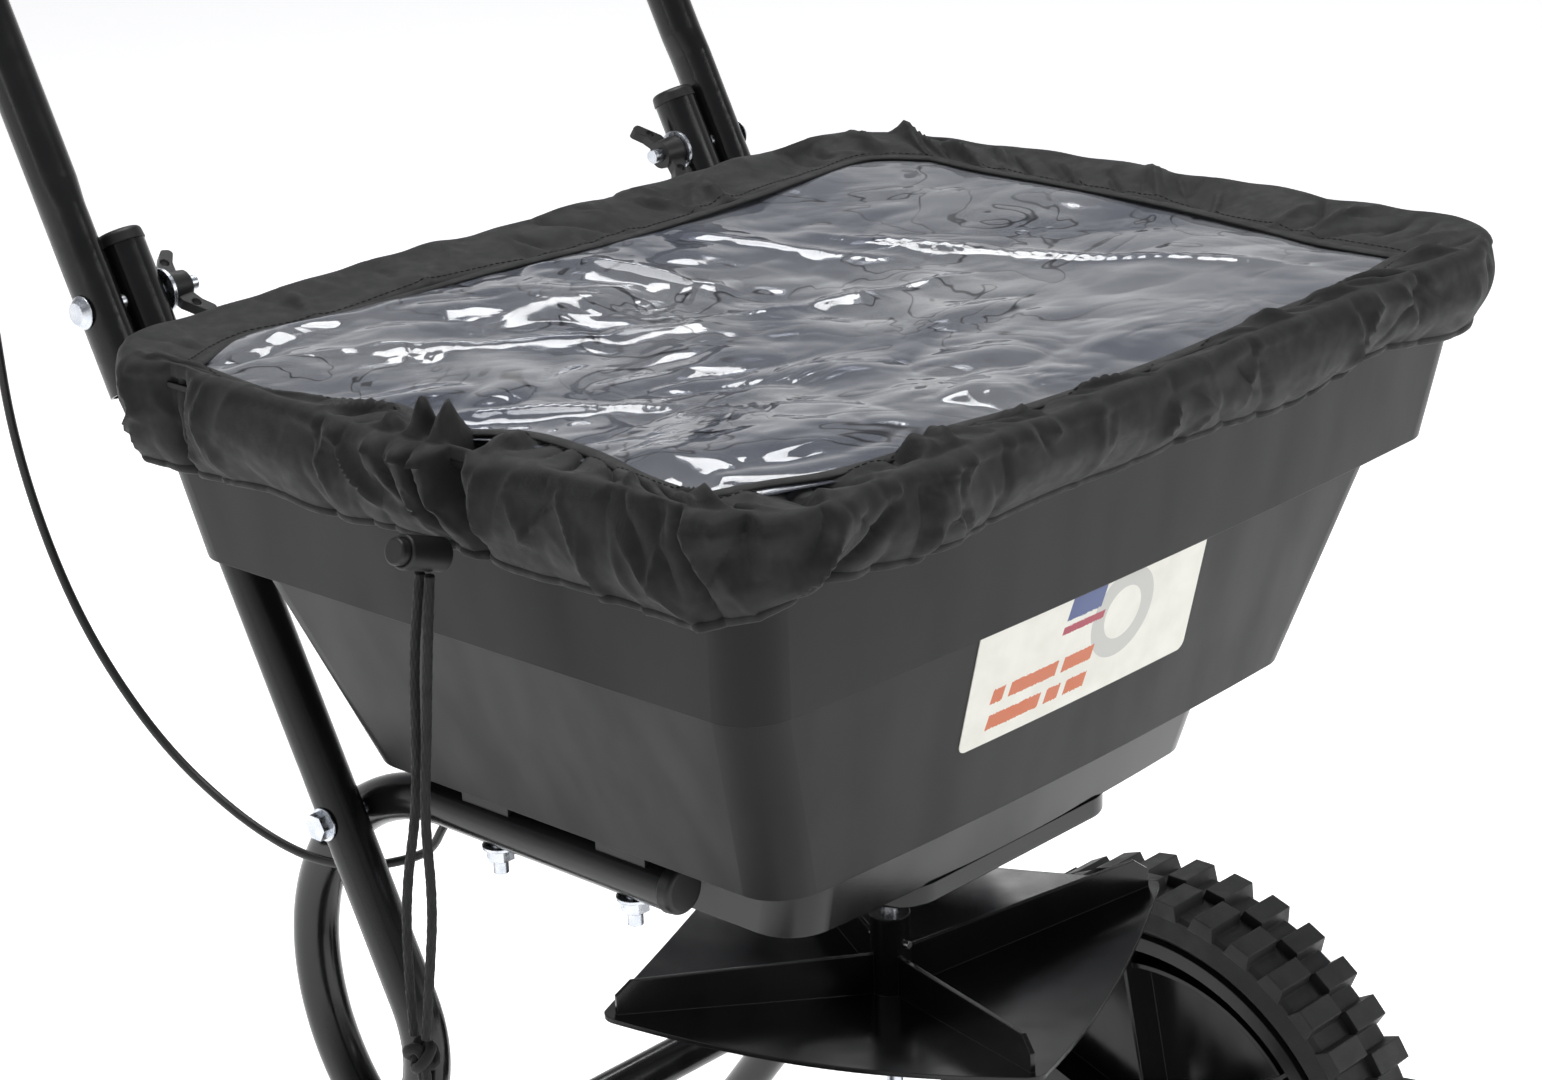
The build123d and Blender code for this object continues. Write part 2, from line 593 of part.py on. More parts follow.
with BuildPart() as axle_washers:
    for low, high in ((WASHER_X, WASHER_X + 2.5), (HUB_OUTER_X + 0.8, HUB_OUTER_X + 2.8)):
        cross_disc(low, high, 12, AXLE_Y, AXLE_Z, AXLE_R + 0.02)
    mirror(about=Plane.YZ)
save(axle_washers.part, "axle_washers")

# Hairpin cotters through the axle's ends
with BuildPart() as cotters:
    for x in (-PIN_X, PIN_X):
        with BuildSketch(level(AXLE_Z - 14, AXLE_Y, x)):
            Circle(1.5)
        extrude(amount=30)
        with BuildSketch(Plane(at(x, AXLE_Y, AXLE_Z + 19.5), x_dir=(0, 1, 0), z_dir=(1, 0, 0))):
            Circle(5.5)
            Circle(3, mode=Mode.SUBTRACT)
        extrude(amount=1.2, both=True)
save(cotters.part, "axle_cotters")

# Pin that makes the left wheel turn the axle
with BuildPart() as drive_pin:
    with BuildSketch(level(AXLE_Z - 18.6, AXLE_Y, DRIVE_PIN_X)):
        Circle(2.45)
    extrude(amount=37.2)
save(drive_pin.part, "drive_pin")

# Left-hand wheel, made about +Z with z as the distance out from the machine's middle
LUG_H = 7.0
CARCASS_R = WHEEL_R - LUG_H
RIM_R = 140.0
MID_X = (WHEEL_INNER_X + WHEEL_OUTER_X) / 2
LUG_LENGTH = MID_X - WHEEL_INNER_X - 2.3
RIBS = 6
wheel_place = Plane(at(0, AXLE_Y, AXLE_Z), x_dir=(0, 1, 0), z_dir=(1, 0, 0)).location

with BuildPart() as lug:
    for radius, width in ((CARCASS_R - 3, 18), (WHEEL_R, 13)):
        with BuildSketch(Plane((radius, 0, 0), x_dir=(0, 1, 0), z_dir=(1, 0, 0))):
            Rectangle(width, LUG_LENGTH)
    loft()

# Tyre with two staggered rows of bars round a middle groove; the bars stop at the sidewalls
with BuildPart() as tyre:
    with BuildSketch(Plane.XZ):
        with BuildLine():
            Polyline(
                (RIM_R + 6, WHEEL_INNER_X), (CARCASS_R - 2, WHEEL_INNER_X + 2),
                (CARCASS_R, WHEEL_INNER_X + 5), (CARCASS_R, WHEEL_OUTER_X - 5),
                (CARCASS_R - 2, WHEEL_OUTER_X - 2), (RIM_R + 6, WHEEL_OUTER_X),
                (RIM_R + 0.05, WHEEL_OUTER_X - 6), (RIM_R + 0.05, WHEEL_INNER_X + 6), close=True,
            )
        make_face()
    revolve(axis=Axis.Z)
    for start, middle in ((0, MID_X - 1.5 - LUG_LENGTH / 2), (180 / LUGS, MID_X + 1.5 + LUG_LENGTH / 2)):
        with Locations((0, 0, middle)):
            with PolarLocations(0, LUGS, start):
                add(lug.part)

# Moulded wheel: bead ring, dished disc with broad spokes and thin ribs, long hub
with BuildPart() as wheel:
    with BuildSketch(Plane.XZ):
        with BuildLine():
            Polyline(
                (RIM_R - 10, WHEEL_INNER_X + 2), (RIM_R - 1, WHEEL_INNER_X + 2), (RIM_R, WHEEL_INNER_X + 6),
                (RIM_R, WHEEL_OUTER_X - 6), (RIM_R - 1, WHEEL_OUTER_X - 2), (RIM_R - 10, WHEEL_OUTER_X - 2),
                (RIM_R - 10, WHEEL_OUTER_X - 5), (RIM_R - 4, WHEEL_OUTER_X - 8), (RIM_R - 5, MID_X + 2),
                (21, MID_X + 2), (20, HUB_OUTER_X), (AXLE_R + RUNNING, HUB_OUTER_X),
                (AXLE_R + RUNNING, HUB_INNER_X), (17, HUB_INNER_X), (21, WHEEL_INNER_X + 8), (30, MID_X - 2),
                (RIM_R - 5, MID_X - 2), (RIM_R - 4, WHEEL_INNER_X + 8), (RIM_R - 10, WHEEL_INNER_X + 5),
                close=True,
            )
        make_face()
    revolve(axis=Axis.Z)
    with BuildSketch(Plane.XY.offset(MID_X - 18)):
        Circle(RIM_R - 24)
        Circle(RIM_R - 27, mode=Mode.SUBTRACT)
    extrude(amount=17)
    for face_z, inward in ((MID_X - 24, 23), (MID_X + 14, -13)):
        with BuildSketch(Plane.XY.offset(face_z)):
            with PolarLocations((RIM_R + 12) / 2, RIBS, 20):
                Rectangle(RIM_R - 16, 2.4)
        extrude(amount=inward)
    with BuildSketch(Plane.XY.offset(MID_X - 11)):
        with PolarLocations(0, RIBS, 50):
            with BuildLine():
                Polyline((24, -11), (RIM_R - 22, -30), (RIM_R - 22, 30), (24, 11), close=True)
            make_face()
    extrude(amount=10)

save(wheel_place * tyre.part, "tyre_left")
save(mirror(wheel_place * tyre.part, about=Plane.YZ), "tyre_right")
save(mirror(wheel_place * wheel.part, about=Plane.YZ), "wheel_right")

with BuildPart() as driven_wheel:
    add(wheel_place * wheel.part)
    with Locations(at(DRIVE_PIN_X, AXLE_Y, AXLE_Z)):
        Cylinder(2.5, 60, mode=Mode.SUBTRACT)
save(driven_wheel.part, "wheel_left")

# ---------------------------------------------------------------- spinner
SHAFT_LOW = AXLE_Z + AXLE_R + 8
SHAFT_HIGH = 516.0
with BuildPart() as shaft:
    with BuildSketch(level(SHAFT_LOW, AXLE_Y)):
        Circle(SHAFT_R)
    extrude(amount=SHAFT_HIGH - SHAFT_LOW)
    with Locations(at(0, AXLE_Y, SPINNER_Z + 32)):
        Cylinder(2.05, 30, rotation=(90, 0, 0), mode=Mode.SUBTRACT)
    with Locations(at(0, AXLE_Y, SHAFT_HIGH - 10)):
        Cylinder(2.55, 30, rotation=(0, 90, 0), mode=Mode.SUBTRACT)
    chamfer(shaft.faces().filter_by(Axis.Z).edges(), 0.8)
save(shaft.part, "spinner_shaft")

HUB_R = 11.0
HUB_TOP = 411.0
PLATE_T = 2.6
with BuildPart() as spinner:
    with BuildSketch(Plane(at(0, AXLE_Y, SPINNER_Z), x_dir=(1, 0, 0), z_dir=(0, -1, 0))):
        rise = tan(radians(SPINNER_RISE))
        reach = SPINNER_TIP_R + 6
        tip_rise = rise * (reach - HUB_R)
        bore = SHAFT_R + 0.02
        with BuildLine():
            Polyline(
                (bore, 0), (HUB_R, 0), (reach, tip_rise), (reach, tip_rise + PLATE_T), (HUB_R, PLATE_T),
                (bore, PLATE_T), close=True,
            )
        make_face()
    revolve(axis=Axis(at(0, AXLE_Y, SPINNER_Z), (0, 0, 1)))
    with BuildSketch(level(SPINNER_Z - 20, AXLE_Y)) as outline:
        turns = [radians(SPINNER_TURN + 90 * k) for k in range(4)]
        corners = [(SPINNER_TIP_R * cos(turn), SPINNER_TIP_R * sin(turn)) for turn in turns]
        edge_r = 0.735 * SPINNER_TIP_R
        with BuildLine():
            for k in range(4):
                bulge = radians(SPINNER_TURN + 45 + 90 * k)
                ThreePointArc(corners[k], (edge_r * cos(bulge), edge_r * sin(bulge)), corners[(k + 1) % 4])
        make_face()
        fillet(outline.vertices(), 9)
    extrude(amount=90, mode=Mode.INTERSECT)
    for k in range(4):
        turn = radians(SPINNER_TURN + 90 * k)
        upright = Plane(
            at(0, AXLE_Y, SPINNER_Z), x_dir=(cos(turn), sin(turn), 0), z_dir=(sin(turn), -cos(turn), 0)
        )
        vane_end = SPINNER_TIP_R - 9
        with BuildSketch(upright):
            with BuildLine():
                Polyline(
                    (0, 1), (HUB_R, 1), (vane_end, rise * (vane_end - HUB_R) + 1),
                    (vane_end, rise * (vane_end - HUB_R) + VANE_H - 7),
                    (vane_end - 9, rise * (vane_end - HUB_R) + VANE_H), (HUB_R, VANE_H + 6), (0, VANE_H + 6),
                    close=True,
                )
            make_face()
        extrude(amount=1.3, both=True)
    with BuildSketch(level(SPINNER_Z - 4, AXLE_Y)):
        Circle(HUB_R)
    extrude(amount=HUB_TOP - SPINNER_Z + 4)
    with Locations(at(0, AXLE_Y, SPINNER_Z)):
        Cylinder(bore, 200, mode=Mode.SUBTRACT)
    with Locations(at(0, AXLE_Y, SPINNER_Z + 32)):
        Cylinder(2.05, 60, rotation=(90, 0, 0), mode=Mode.SUBTRACT)
save(spinner.part, "spinner_plate")

with BuildPart() as spinner_pin:
    with Locations(at(0, AXLE_Y, SPINNER_Z + 32)):
        Cylinder(2.0, 2 * HUB_R + 5, rotation=(90, 0, 0))
save(spinner_pin.part, "spinner_pin")

# Stirring rod through the shaft, inside the hopper
with BuildPart() as agitator:
    middle_z = SHAFT_HIGH - 10
    with BuildLine(Plane(at(0, AXLE_Y, middle_z), x_dir=(1, 0, 0), z_dir=(0, -1, 0))) as rod:
        FilletPolyline((-46, -9), (-34, 0), (34, 0), (46, -9), radius=7)
    with BuildSketch(Plane(rod.wire() @ 0, z_dir=rod.wire() % 0)):
        Circle(2.5)
    sweep(path=rod.wire())
save(agitator.part, "agitator")

# ---------------------------------------------------------------- upper handle
UP = (0, sin(radians(LEG_LEAN)), cos(radians(LEG_LEAN)))


def handle_plane(x, along):
    """Plane square to the handle's side tube at a length along it from the pivot."""
    y, z = handle_point(along)
    return Plane(at(x, y, z), x_dir=(1, 0, 0), z_dir=UP)


with BuildPart() as handle:
    top_lean = radians(LEG_LEAN + HANDLE_TURN)
    low = at(HANDLE_X, *handle_point(FLAT_LENGTH - HANDLE_STUB + 14))
    knee = at(HANDLE_X, *handle_point(HANDLE_STRAIGHT))
    far = (HANDLE_X, knee[1] + HANDLE_END * sin(top_lean), knee[2] + HANDLE_END * cos(top_lean))
    with BuildLine() as path:
        FilletPolyline(
            low, knee, far, (-far[0], far[1], far[2]), (-knee[0], knee[1], knee[2]),
            (-low[0], low[1], low[2]),
            radius=[HANDLE_BEND_R, HANDLE_CORNER_R, HANDLE_CORNER_R, HANDLE_BEND_R],
        )
    with BuildSketch(Plane(path.wire() @ 0, x_dir=(1, 0, 0), z_dir=UP)):
        tube_section()
    sweep(path=path.wire())
    for sign in (-1, 1):
        round_end = handle_plane(sign * HANDLE_X, FLAT_LENGTH - HANDLE_STUB + 14)
        flat_end = handle_plane(sign * (HANDLE_X + 0.7), FLAT_LENGTH - HANDLE_STUB)
        with BuildSketch(round_end):
            Circle(TUBE_R)
        with BuildSketch(flat_end):
            Ellipse(TUBE_R - 1.2, TUBE_R + 1.0)
        loft()
        with BuildSketch(round_end):
            Circle(TUBE_R - TUBE_WALL)
        with BuildSketch(flat_end):
            Ellipse(TUBE_R - 1.2 - TUBE_WALL, TUBE_R + 1.0 - TUBE_WALL)
        loft(mode=Mode.SUBTRACT)
        with BuildSketch(flat_end):
            Ellipse(TUBE_R - 1.2, TUBE_R + 1.0)
            Ellipse(TUBE_R - 1.2 - TUBE_WALL, TUBE_R + 1.0 - TUBE_WALL, mode=Mode.SUBTRACT)
        extrude(amount=-FLAT_LENGTH)
        with Locations(at(sign * HANDLE_X, leg_y(PIVOT_Z), PIVOT_Z)):
            Cylinder(BOLT_R + RUNNING, 4 * TUBE_R, rotation=(0, 90, 0), mode=Mode.SUBTRACT)
save(handle.part, "handle_bar")

with BuildPart() as grip:
    half = GRIP_LENGTH / 2
    with BuildSketch(Plane((-half, far[1], far[2]), z_dir=(1, 0, 0))):
        Circle(GRIP_R)
        Circle(TUBE_R + 0.02, mode=Mode.SUBTRACT)
    extrude(amount=GRIP_LENGTH)
    fillet(grip.faces().filter_by(Axis.X).edges().filter_by(lambda edge: edge.radius > TUBE_R + 1), 1.5)
save(grip.part, "handle_grip")

# Carriage bolts the handle folds about, washers and wing nuts
with BuildPart() as fold_bolts:
    y, z = handle_point(0)
    head_x = HANDLE_X + TUBE_R - 0.2
    cross_disc(LEG_X - TUBE_R - 22, head_x, BOLT_R, y, z)
    with BuildSketch(side(head_x)):
        with Locations((y, z)):
            Circle(9)
    extrude(amount=4, taper=38)
    mirror(about=Plane.YZ)
save(fold_bolts.part, "fold_bolts")

with BuildPart() as fold_washers:
    cross_disc(LEG_X - TUBE_R - 2, LEG_X - TUBE_R, 12, y, z, BOLT_R + 0.05)
    mirror(about=Plane.YZ)
save(fold_washers.part, "fold_washers")


def wing_nut(sign):
    """Plastic wing nut inboard of a leg tube, with two looped wings."""
    with BuildPart() as nut:
        face = Plane(at(sign * (LEG_X - TUBE_R - 2.4), y, z), x_dir=(0, 1, 0), z_dir=(-sign, 0, 0))
        with BuildSketch(face):
            Circle(9.5)
        extrude(amount=13, taper=6)
        for turn in (35, 215):
            out = (0, cos(radians(turn)), sin(radians(turn)))
            normal = (0, -sin(radians(turn)), cos(radians(turn)))
            flat = Plane(at(sign * (LEG_X - TUBE_R - 2.4), y, z), x_dir=out, z_dir=normal)
            inward = 1 if flat.y_dir.X * -sign > 0 else -1
            with BuildSketch(flat):
                with BuildLine():
                    FilletPolyline(
                        (5, inward * 2), (12, inward * 3), (24, inward * 13), (22, inward * 20),
                        (14, inward * 14), (5, inward * 11), radius=2.5, close=True,
                    )
                make_face()
                with Locations((15, inward * 9.5)):
                    Circle(2.6, mode=Mode.SUBTRACT)
            extrude(amount=3, both=True)
        with Locations(at(sign * (LEG_X - TUBE_R - 10), y, z)):
            Cylinder(BOLT_R + RUNNING, 60, rotation=(0, 90, 0), mode=Mode.SUBTRACT)
    return nut.part


save(wing_nut(-1), "wing_nut_right")
save(wing_nut(1), "wing_nut_left")

# ---------------------------------------------------------------- control lever on the right-hand tube
lever_y, lever_z = handle_point(LEVER_UP, 4.0)
PIVOT_R = 4.0
CABLE_X = PLATE_X + LEVER_PLATE_T + 6.0
ARM_PIN = (lever_y + ARM_R * cos(radians(ARM_REST)), lever_z + ARM_R * sin(radians(ARM_REST)))
SLEEVE_END = (ARM_PIN[0], ARM_PIN[1] - 42)
with BuildPart() as quadrant:
    with BuildSketch(side(PLATE_X)):
        with Locations((lever_y, lever_z)):
            Circle(24)
        with BuildLine():
            sector = [
                (lever_y + 62 * cos(radians(angle)), lever_z + 62 * sin(radians(angle)))
                for angle in (152, 132, 112, 92, 72)
            ]
            Polyline((lever_y, lever_z), *sector, close=True)
        make_face()
        with BuildLine():
            Polyline(
                (lever_y - 10, lever_z - 20), (lever_y + 20, lever_z - 12),
                (SLEEVE_END[0] + 9, SLEEVE_END[1] + 4), (SLEEVE_END[0] + 9, SLEEVE_END[1] - 8),
                (SLEEVE_END[0] - 9, SLEEVE_END[1] - 8), close=True,
            )
        make_face()
        with Locations((lever_y, lever_z)):
            Circle(PIVOT_R, mode=Mode.SUBTRACT)
    extrude(amount=LEVER_PLATE_T)
    with BuildSketch(level(SLEEVE_END[1] - 7, SLEEVE_END[0], CABLE_X)):
        Circle(4.5)
        with Locations((-4.5, 0)):
            Rectangle(4, 7)
        Circle(CABLE_R + 0.1, mode=Mode.SUBTRACT)
    extrude(amount=11)
save(quadrant.part, "lever_quadrant")

# Lever with a short arm for the wire, its pivot bolt, and a knob pressed on its end
LEVER_X = PLATE_X + LEVER_PLATE_T + 0.6
lever_dir = radians(LEVER_REST)
with BuildPart() as lever:
    with BuildSketch(side(LEVER_X)):
        with Locations((lever_y, lever_z)):
            Circle(11)
        for length, angle in ((LEVER_LENGTH, LEVER_REST), (ARM_R + 5, ARM_REST)):
            middle = (
                lever_y + length / 2 * cos(radians(angle)),
                lever_z + length / 2 * sin(radians(angle)),
                0,
            )
            with Locations(Location(middle, (0, 0, angle))):
                Rectangle(length, 14)
        with Locations((lever_y, lever_z)):
            Circle(PIVOT_R + RUNNING, mode=Mode.SUBTRACT)
        with Locations(ARM_PIN):
            Circle(1.5, mode=Mode.SUBTRACT)
    extrude(amount=4)
save(lever.part, "control_lever")

# Bare wire from the sleeve's end up to the lever's short arm
with BuildPart() as lever_wire:
    with BuildSketch(level(SLEEVE_END[1] + 0.2, SLEEVE_END[0], CABLE_X)):
        Circle(0.8)
    extrude(amount=ARM_PIN[1] - SLEEVE_END[1] - 0.2)
    cross_disc(LEVER_X, LEVER_X + 6, 1.45, ARM_PIN[0], ARM_PIN[1])
    cross_disc(LEVER_X + 4.2, LEVER_X + 7, 3, ARM_PIN[0], ARM_PIN[1])
save(lever_wire.part, "lever_wire")

with BuildPart() as knob:
    tip = Plane(
        at(LEVER_X + 2, lever_y + LEVER_LENGTH * cos(lever_dir), lever_z + LEVER_LENGTH * sin(lever_dir)),
        x_dir=(1, 0, 0), z_dir=(0, cos(lever_dir), sin(lever_dir)),
    )
    with BuildSketch(tip):
        RectangleRounded(16, 20, 6)
    extrude(amount=34, taper=4)
    fillet(knob.faces().sort_by(Axis.Z)[-1].edges(), 4)
save(knob.part, "lever_knob")

with BuildPart() as lever_pivot:
    cross_disc(PLATE_X, LEVER_X + 4.4, PIVOT_R, lever_y, lever_z)
    cross_disc(LEVER_X + 4.4, LEVER_X + 9, 7, lever_y, lever_z, sides=6)
save(lever_pivot.part, "lever_pivot")

# Clamp straps that hold the quadrant on the tube
with BuildPart() as lever_clamp:
    for along in (LEVER_UP - 14, LEVER_UP + 14):
        with BuildSketch(handle_plane(-HANDLE_X, along).offset(-5)):
            Circle(TUBE_R + 2)
            Circle(TUBE_R + 0.05, mode=Mode.SUBTRACT)
        extrude(amount=10)
    with Locations(at(PLATE_X + 50, lever_y, lever_z)):
        Box(100, 200, 200, mode=Mode.SUBTRACT)
save(lever_clamp.part, "lever_clamp")

# ---------------------------------------------------------------- control cable, whole, on its real route
CABLE_ROUTE = (
    (WIRE_X, ANCHOR_Y - 5, WIRE_Z), (-58.5, 186, 463), (-80, 206, 449), (-112, 196, 438), (-140, 173, 440),
    (-166, 163.5, 446), (-187, 170, 448), (-199, 190, 448.5), (-202.5, 222, 451), (-205, 262, 462),
    (-211, 304, 487), (-218, 337, 524), (-223, 362, 564), (-226, 382, 612), (-228, 394, 662),
    (-228, 398, 712), (-226.5, 403, 762), (-223.5, 410, 806), (-217.5, 417, 842), (CABLE_X, SLEEVE_END[0], 872),
    (CABLE_X, SLEEVE_END[0], SLEEVE_END[1]),
)


def route_radii(points, share=0.45):
    """Radius of the arc at each inner point: as large as the shorter of its two runs allows."""
    radii = []
    for before, here, after in zip(points, points[1:], points[2:]):
        run_in, run_out = Vector(*here) - Vector(*before), Vector(*after) - Vector(*here)
        turn = radians(run_in.get_angle(run_out))
        radii.append(share * min(run_in.length, run_out.length) / tan(turn / 2))
    return radii


def cord(name, points, radius):
    """Plain tube of straight runs joined by tangent arcs along the given points."""
    places = [at(*point) for point in points]
    radii = route_radii(places)
    with BuildPart() as tube:
        with BuildLine() as route:
            FilletPolyline(*places, radius=radii)
        line = route.wire()
        with BuildSketch(Plane(line @ 0, z_dir=line % 0)):
            Circle(radius)
        sweep(path=line)
    ratio = tube.part.volume / (pi * radius ** 2 * line.length)
    print(f"{name}: {line.length:.0f} long, radii {[round(r) for r in radii]}, volume ratio {ratio:.4f}")
    save(tube.part, name)


cord("control_cable", CABLE_ROUTE, CABLE_R)

# ---------------------------------------------------------------- cover
def band(z, half_x, half_y, corner):
    with BuildSketch(level(z)) as outline:
        RectangleRounded(2 * half_x, 2 * half_y, corner)
    return outline.sketch


with BuildPart() as border:
    top = COVER_Z + CLOTH
    extrude(band(SKIRT_Z, SKIRT_X, SKIRT_Y + FRONT_BOW, 34), amount=top - SKIRT_Z)
    extrude(
        band(SKIRT_Z, SKIRT_X - CLOTH, SKIRT_Y + FRONT_BOW - CLOTH, 31), amount=COVER_Z - SKIRT_Z,
        mode=Mode.SUBTRACT,
    )
    extrude(band(COVER_Z, OPENING_X, OPENING_Y, 14), amount=CLOTH, mode=Mode.SUBTRACT)
    extrude(band(COVER_Z, WINDOW_X + 0.2, WINDOW_Y + 0.2, 14), amount=WINDOW_T, mode=Mode.SUBTRACT)
save(border.part, "cover_border")

with BuildPart() as window:
    extrude(band(COVER_Z, WINDOW_X, WINDOW_Y, 14), amount=WINDOW_T)
save(window.part, "cover_window")

# Cord lock: barrel with a sprung plunger in its outer end and two crossways holes for the cords
lock_axis = (-cos(radians(LOCK_TILT)), 0, sin(radians(LOCK_TILT)))
lock_mid = Plane(at(LOCK_X, LOCK_Y, LOCK_Z), x_dir=(0, 1, 0), z_dir=lock_axis)
PLUNGER_R = 6.2
with BuildPart() as lock:
    with BuildSketch(lock_mid.offset(-LOCK_L / 2)):
        Circle(LOCK_R)
    extrude(amount=LOCK_L)
    fillet(lock.edges(), 1)
    with BuildSketch(lock_mid.offset(-LOCK_L / 2 + 6)):
        Circle(PLUNGER_R + 0.3)
    extrude(amount=LOCK_L, mode=Mode.SUBTRACT)
save(lock.part, "cord_lock_barrel")

with BuildPart() as plunger:
    with BuildSketch(lock_mid.offset(-LOCK_L / 2 + 12)):
        Circle(PLUNGER_R)
    extrude(amount=LOCK_L - 12 + BUTTON_TRAVEL + 1)
    fillet(plunger.faces().sort_by(Axis.X)[0].edges(), 1.2)
save(plunger.part, "cord_lock_button")

with BuildPart() as spring:
    with BuildSketch(lock_mid.offset(-LOCK_L / 2 + 6.2)):
        Circle(4.6)
        Circle(3.6, mode=Mode.SUBTRACT)
    extrude(amount=5.6)
save(spring.part, "cord_lock_spring")

CORD_X = -307.5
FRONT_CORD = (
    (CORD_X, -41, 694.0), (CORD_X - 0.6, -36, 656), (CORD_X + 0.5, -30, 616), (CORD_X - 0.8, -25, 573),
    (CORD_X, -25.5, 530), (CORD_X + 0.6, -18, 490), (CORD_X, -12.4, 456),
)
BACK_CORD = (
    (CORD_X, -34.5, 694.0), (CORD_X - 1, -27.5, 658), (CORD_X, -23, 616), (CORD_X + 1.2, -18, 576),
    (CORD_X - 0.6, -8, 534), (CORD_X, -3.4, 494), (CORD_X - 0.6, -4.6, 456),
)
cord("drawcord_front", FRONT_CORD, CORD_R)
cord("drawcord_back", BACK_CORD, CORD_R)

with BuildPart() as knot:
    with Locations(at(CORD_X, -8.5, 446.5)):
        Sphere(9.4)
    with Locations(at(CORD_X, -8.5, 446.5)):
        Box(40, 40, 19, mode=Mode.INTERSECT)
save(knot.part, "drawcord_knot")
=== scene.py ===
import math
import random

import bpy
import numpy as np
from mathutils import Matrix, Vector, noise


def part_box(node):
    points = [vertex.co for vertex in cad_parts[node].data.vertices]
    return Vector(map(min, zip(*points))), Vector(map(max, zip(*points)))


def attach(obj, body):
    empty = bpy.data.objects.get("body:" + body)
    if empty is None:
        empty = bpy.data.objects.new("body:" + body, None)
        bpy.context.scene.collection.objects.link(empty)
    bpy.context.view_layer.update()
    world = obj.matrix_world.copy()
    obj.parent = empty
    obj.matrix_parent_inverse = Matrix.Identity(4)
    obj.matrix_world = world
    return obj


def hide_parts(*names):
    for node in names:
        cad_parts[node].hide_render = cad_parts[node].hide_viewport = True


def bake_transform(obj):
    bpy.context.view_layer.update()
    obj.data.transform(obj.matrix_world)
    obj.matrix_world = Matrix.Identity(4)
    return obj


# Looks of the walk-behind rotary spreader. Metres, +Z up, label face towards -Y.
# Places marked "from the centre line" measure Y from the hopper's middle, as at() expects.
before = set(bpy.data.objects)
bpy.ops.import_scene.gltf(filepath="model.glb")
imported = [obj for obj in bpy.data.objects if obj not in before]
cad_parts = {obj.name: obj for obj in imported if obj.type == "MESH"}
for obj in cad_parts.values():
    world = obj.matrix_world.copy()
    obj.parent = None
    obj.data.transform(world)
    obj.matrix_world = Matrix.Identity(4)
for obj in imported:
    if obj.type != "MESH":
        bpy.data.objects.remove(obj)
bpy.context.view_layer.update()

hopper_low, hopper_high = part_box("hopper")
MID_Y = (hopper_low.y + hopper_high.y) / 2
RIM_Z = hopper_high.z

# Cover: heights and sizes of the cloth and its window
FILM_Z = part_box("cover_window")[1].z
HEM_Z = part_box("cover_border")[0].z
SKIRT_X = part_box("cover_border")[1].x
SKIRT_Y = (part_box("cover_border")[1].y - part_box("cover_border")[0].y) / 2
SIDE_STEPS = 240  # columns of cloth along each side of the cover

# Corners and bends of the window's edge, from the centre line, side by side: left, front, right, back
WINDOW_EDGE = (
    (
        (-0.272, 0.164), (-0.279, 0.100), (-0.271, 0.066), (-0.259, 0.036), (-0.262, 0.018), (-0.273, -0.002),
        (-0.266, -0.022), (-0.251, -0.050), (-0.253, -0.092), (-0.264, -0.134), (-0.268, -0.172),
    ),
    (
        (-0.268, -0.172), (-0.240, -0.182), (-0.212, -0.196), (-0.166, -0.203), (-0.141, -0.196),
        (-0.086, -0.205), (0.004, -0.210), (0.090, -0.206), (0.165, -0.205), (0.222, -0.196),
    ),
    (
        (0.222, -0.196), (0.222, -0.150), (0.232, -0.100), (0.244, -0.030), (0.250, 0.050), (0.252, 0.104),
        (0.258, 0.148),
    ),
    (
        (0.258, 0.148), (0.236, 0.180), (0.186, 0.179), (0.120, 0.171), (0.021, 0.167), (-0.070, 0.176),
        (-0.179, 0.177), (-0.228, 0.184), (-0.272, 0.164),
    ),
)

# Where the cloth is bunched up: place round the cover, spread, strength and how many folds
BUNCHES = (
    (0.132, 0.016, 1.0, 26), (0.215, 0.018, 0.8, 18), (0.262, 0.012, 0.7, 12), (0.030, 0.014, 0.6, 10),
    (0.735, 0.016, 0.7, 12),
)

# Drawcord and control cable: the same route points as the solid model, from the centre line
CORD_RADIUS = 0.00225
FRONT_CORD = (
    (-0.3075, -0.041, 0.694), (-0.3081, -0.036, 0.656), (-0.307, -0.030, 0.616), (-0.3083, -0.025, 0.573),
    (-0.3075, -0.0255, 0.530), (-0.3069, -0.018, 0.490), (-0.3075, -0.0124, 0.456),
)
BACK_CORD = (
    (-0.3075, -0.0345, 0.694), (-0.3085, -0.0275, 0.658), (-0.3075, -0.023, 0.616), (-0.3063, -0.018, 0.576),
    (-0.3081, -0.008, 0.534), (-0.3075, -0.0034, 0.494), (-0.3081, -0.0046, 0.456),
)
FRONT_LENGTH, BACK_LENGTH = 0.240, 0.241
CABLE_RADIUS = 0.0025
CABLE_TOP = (-0.2085, 0.42283, 0.90055)
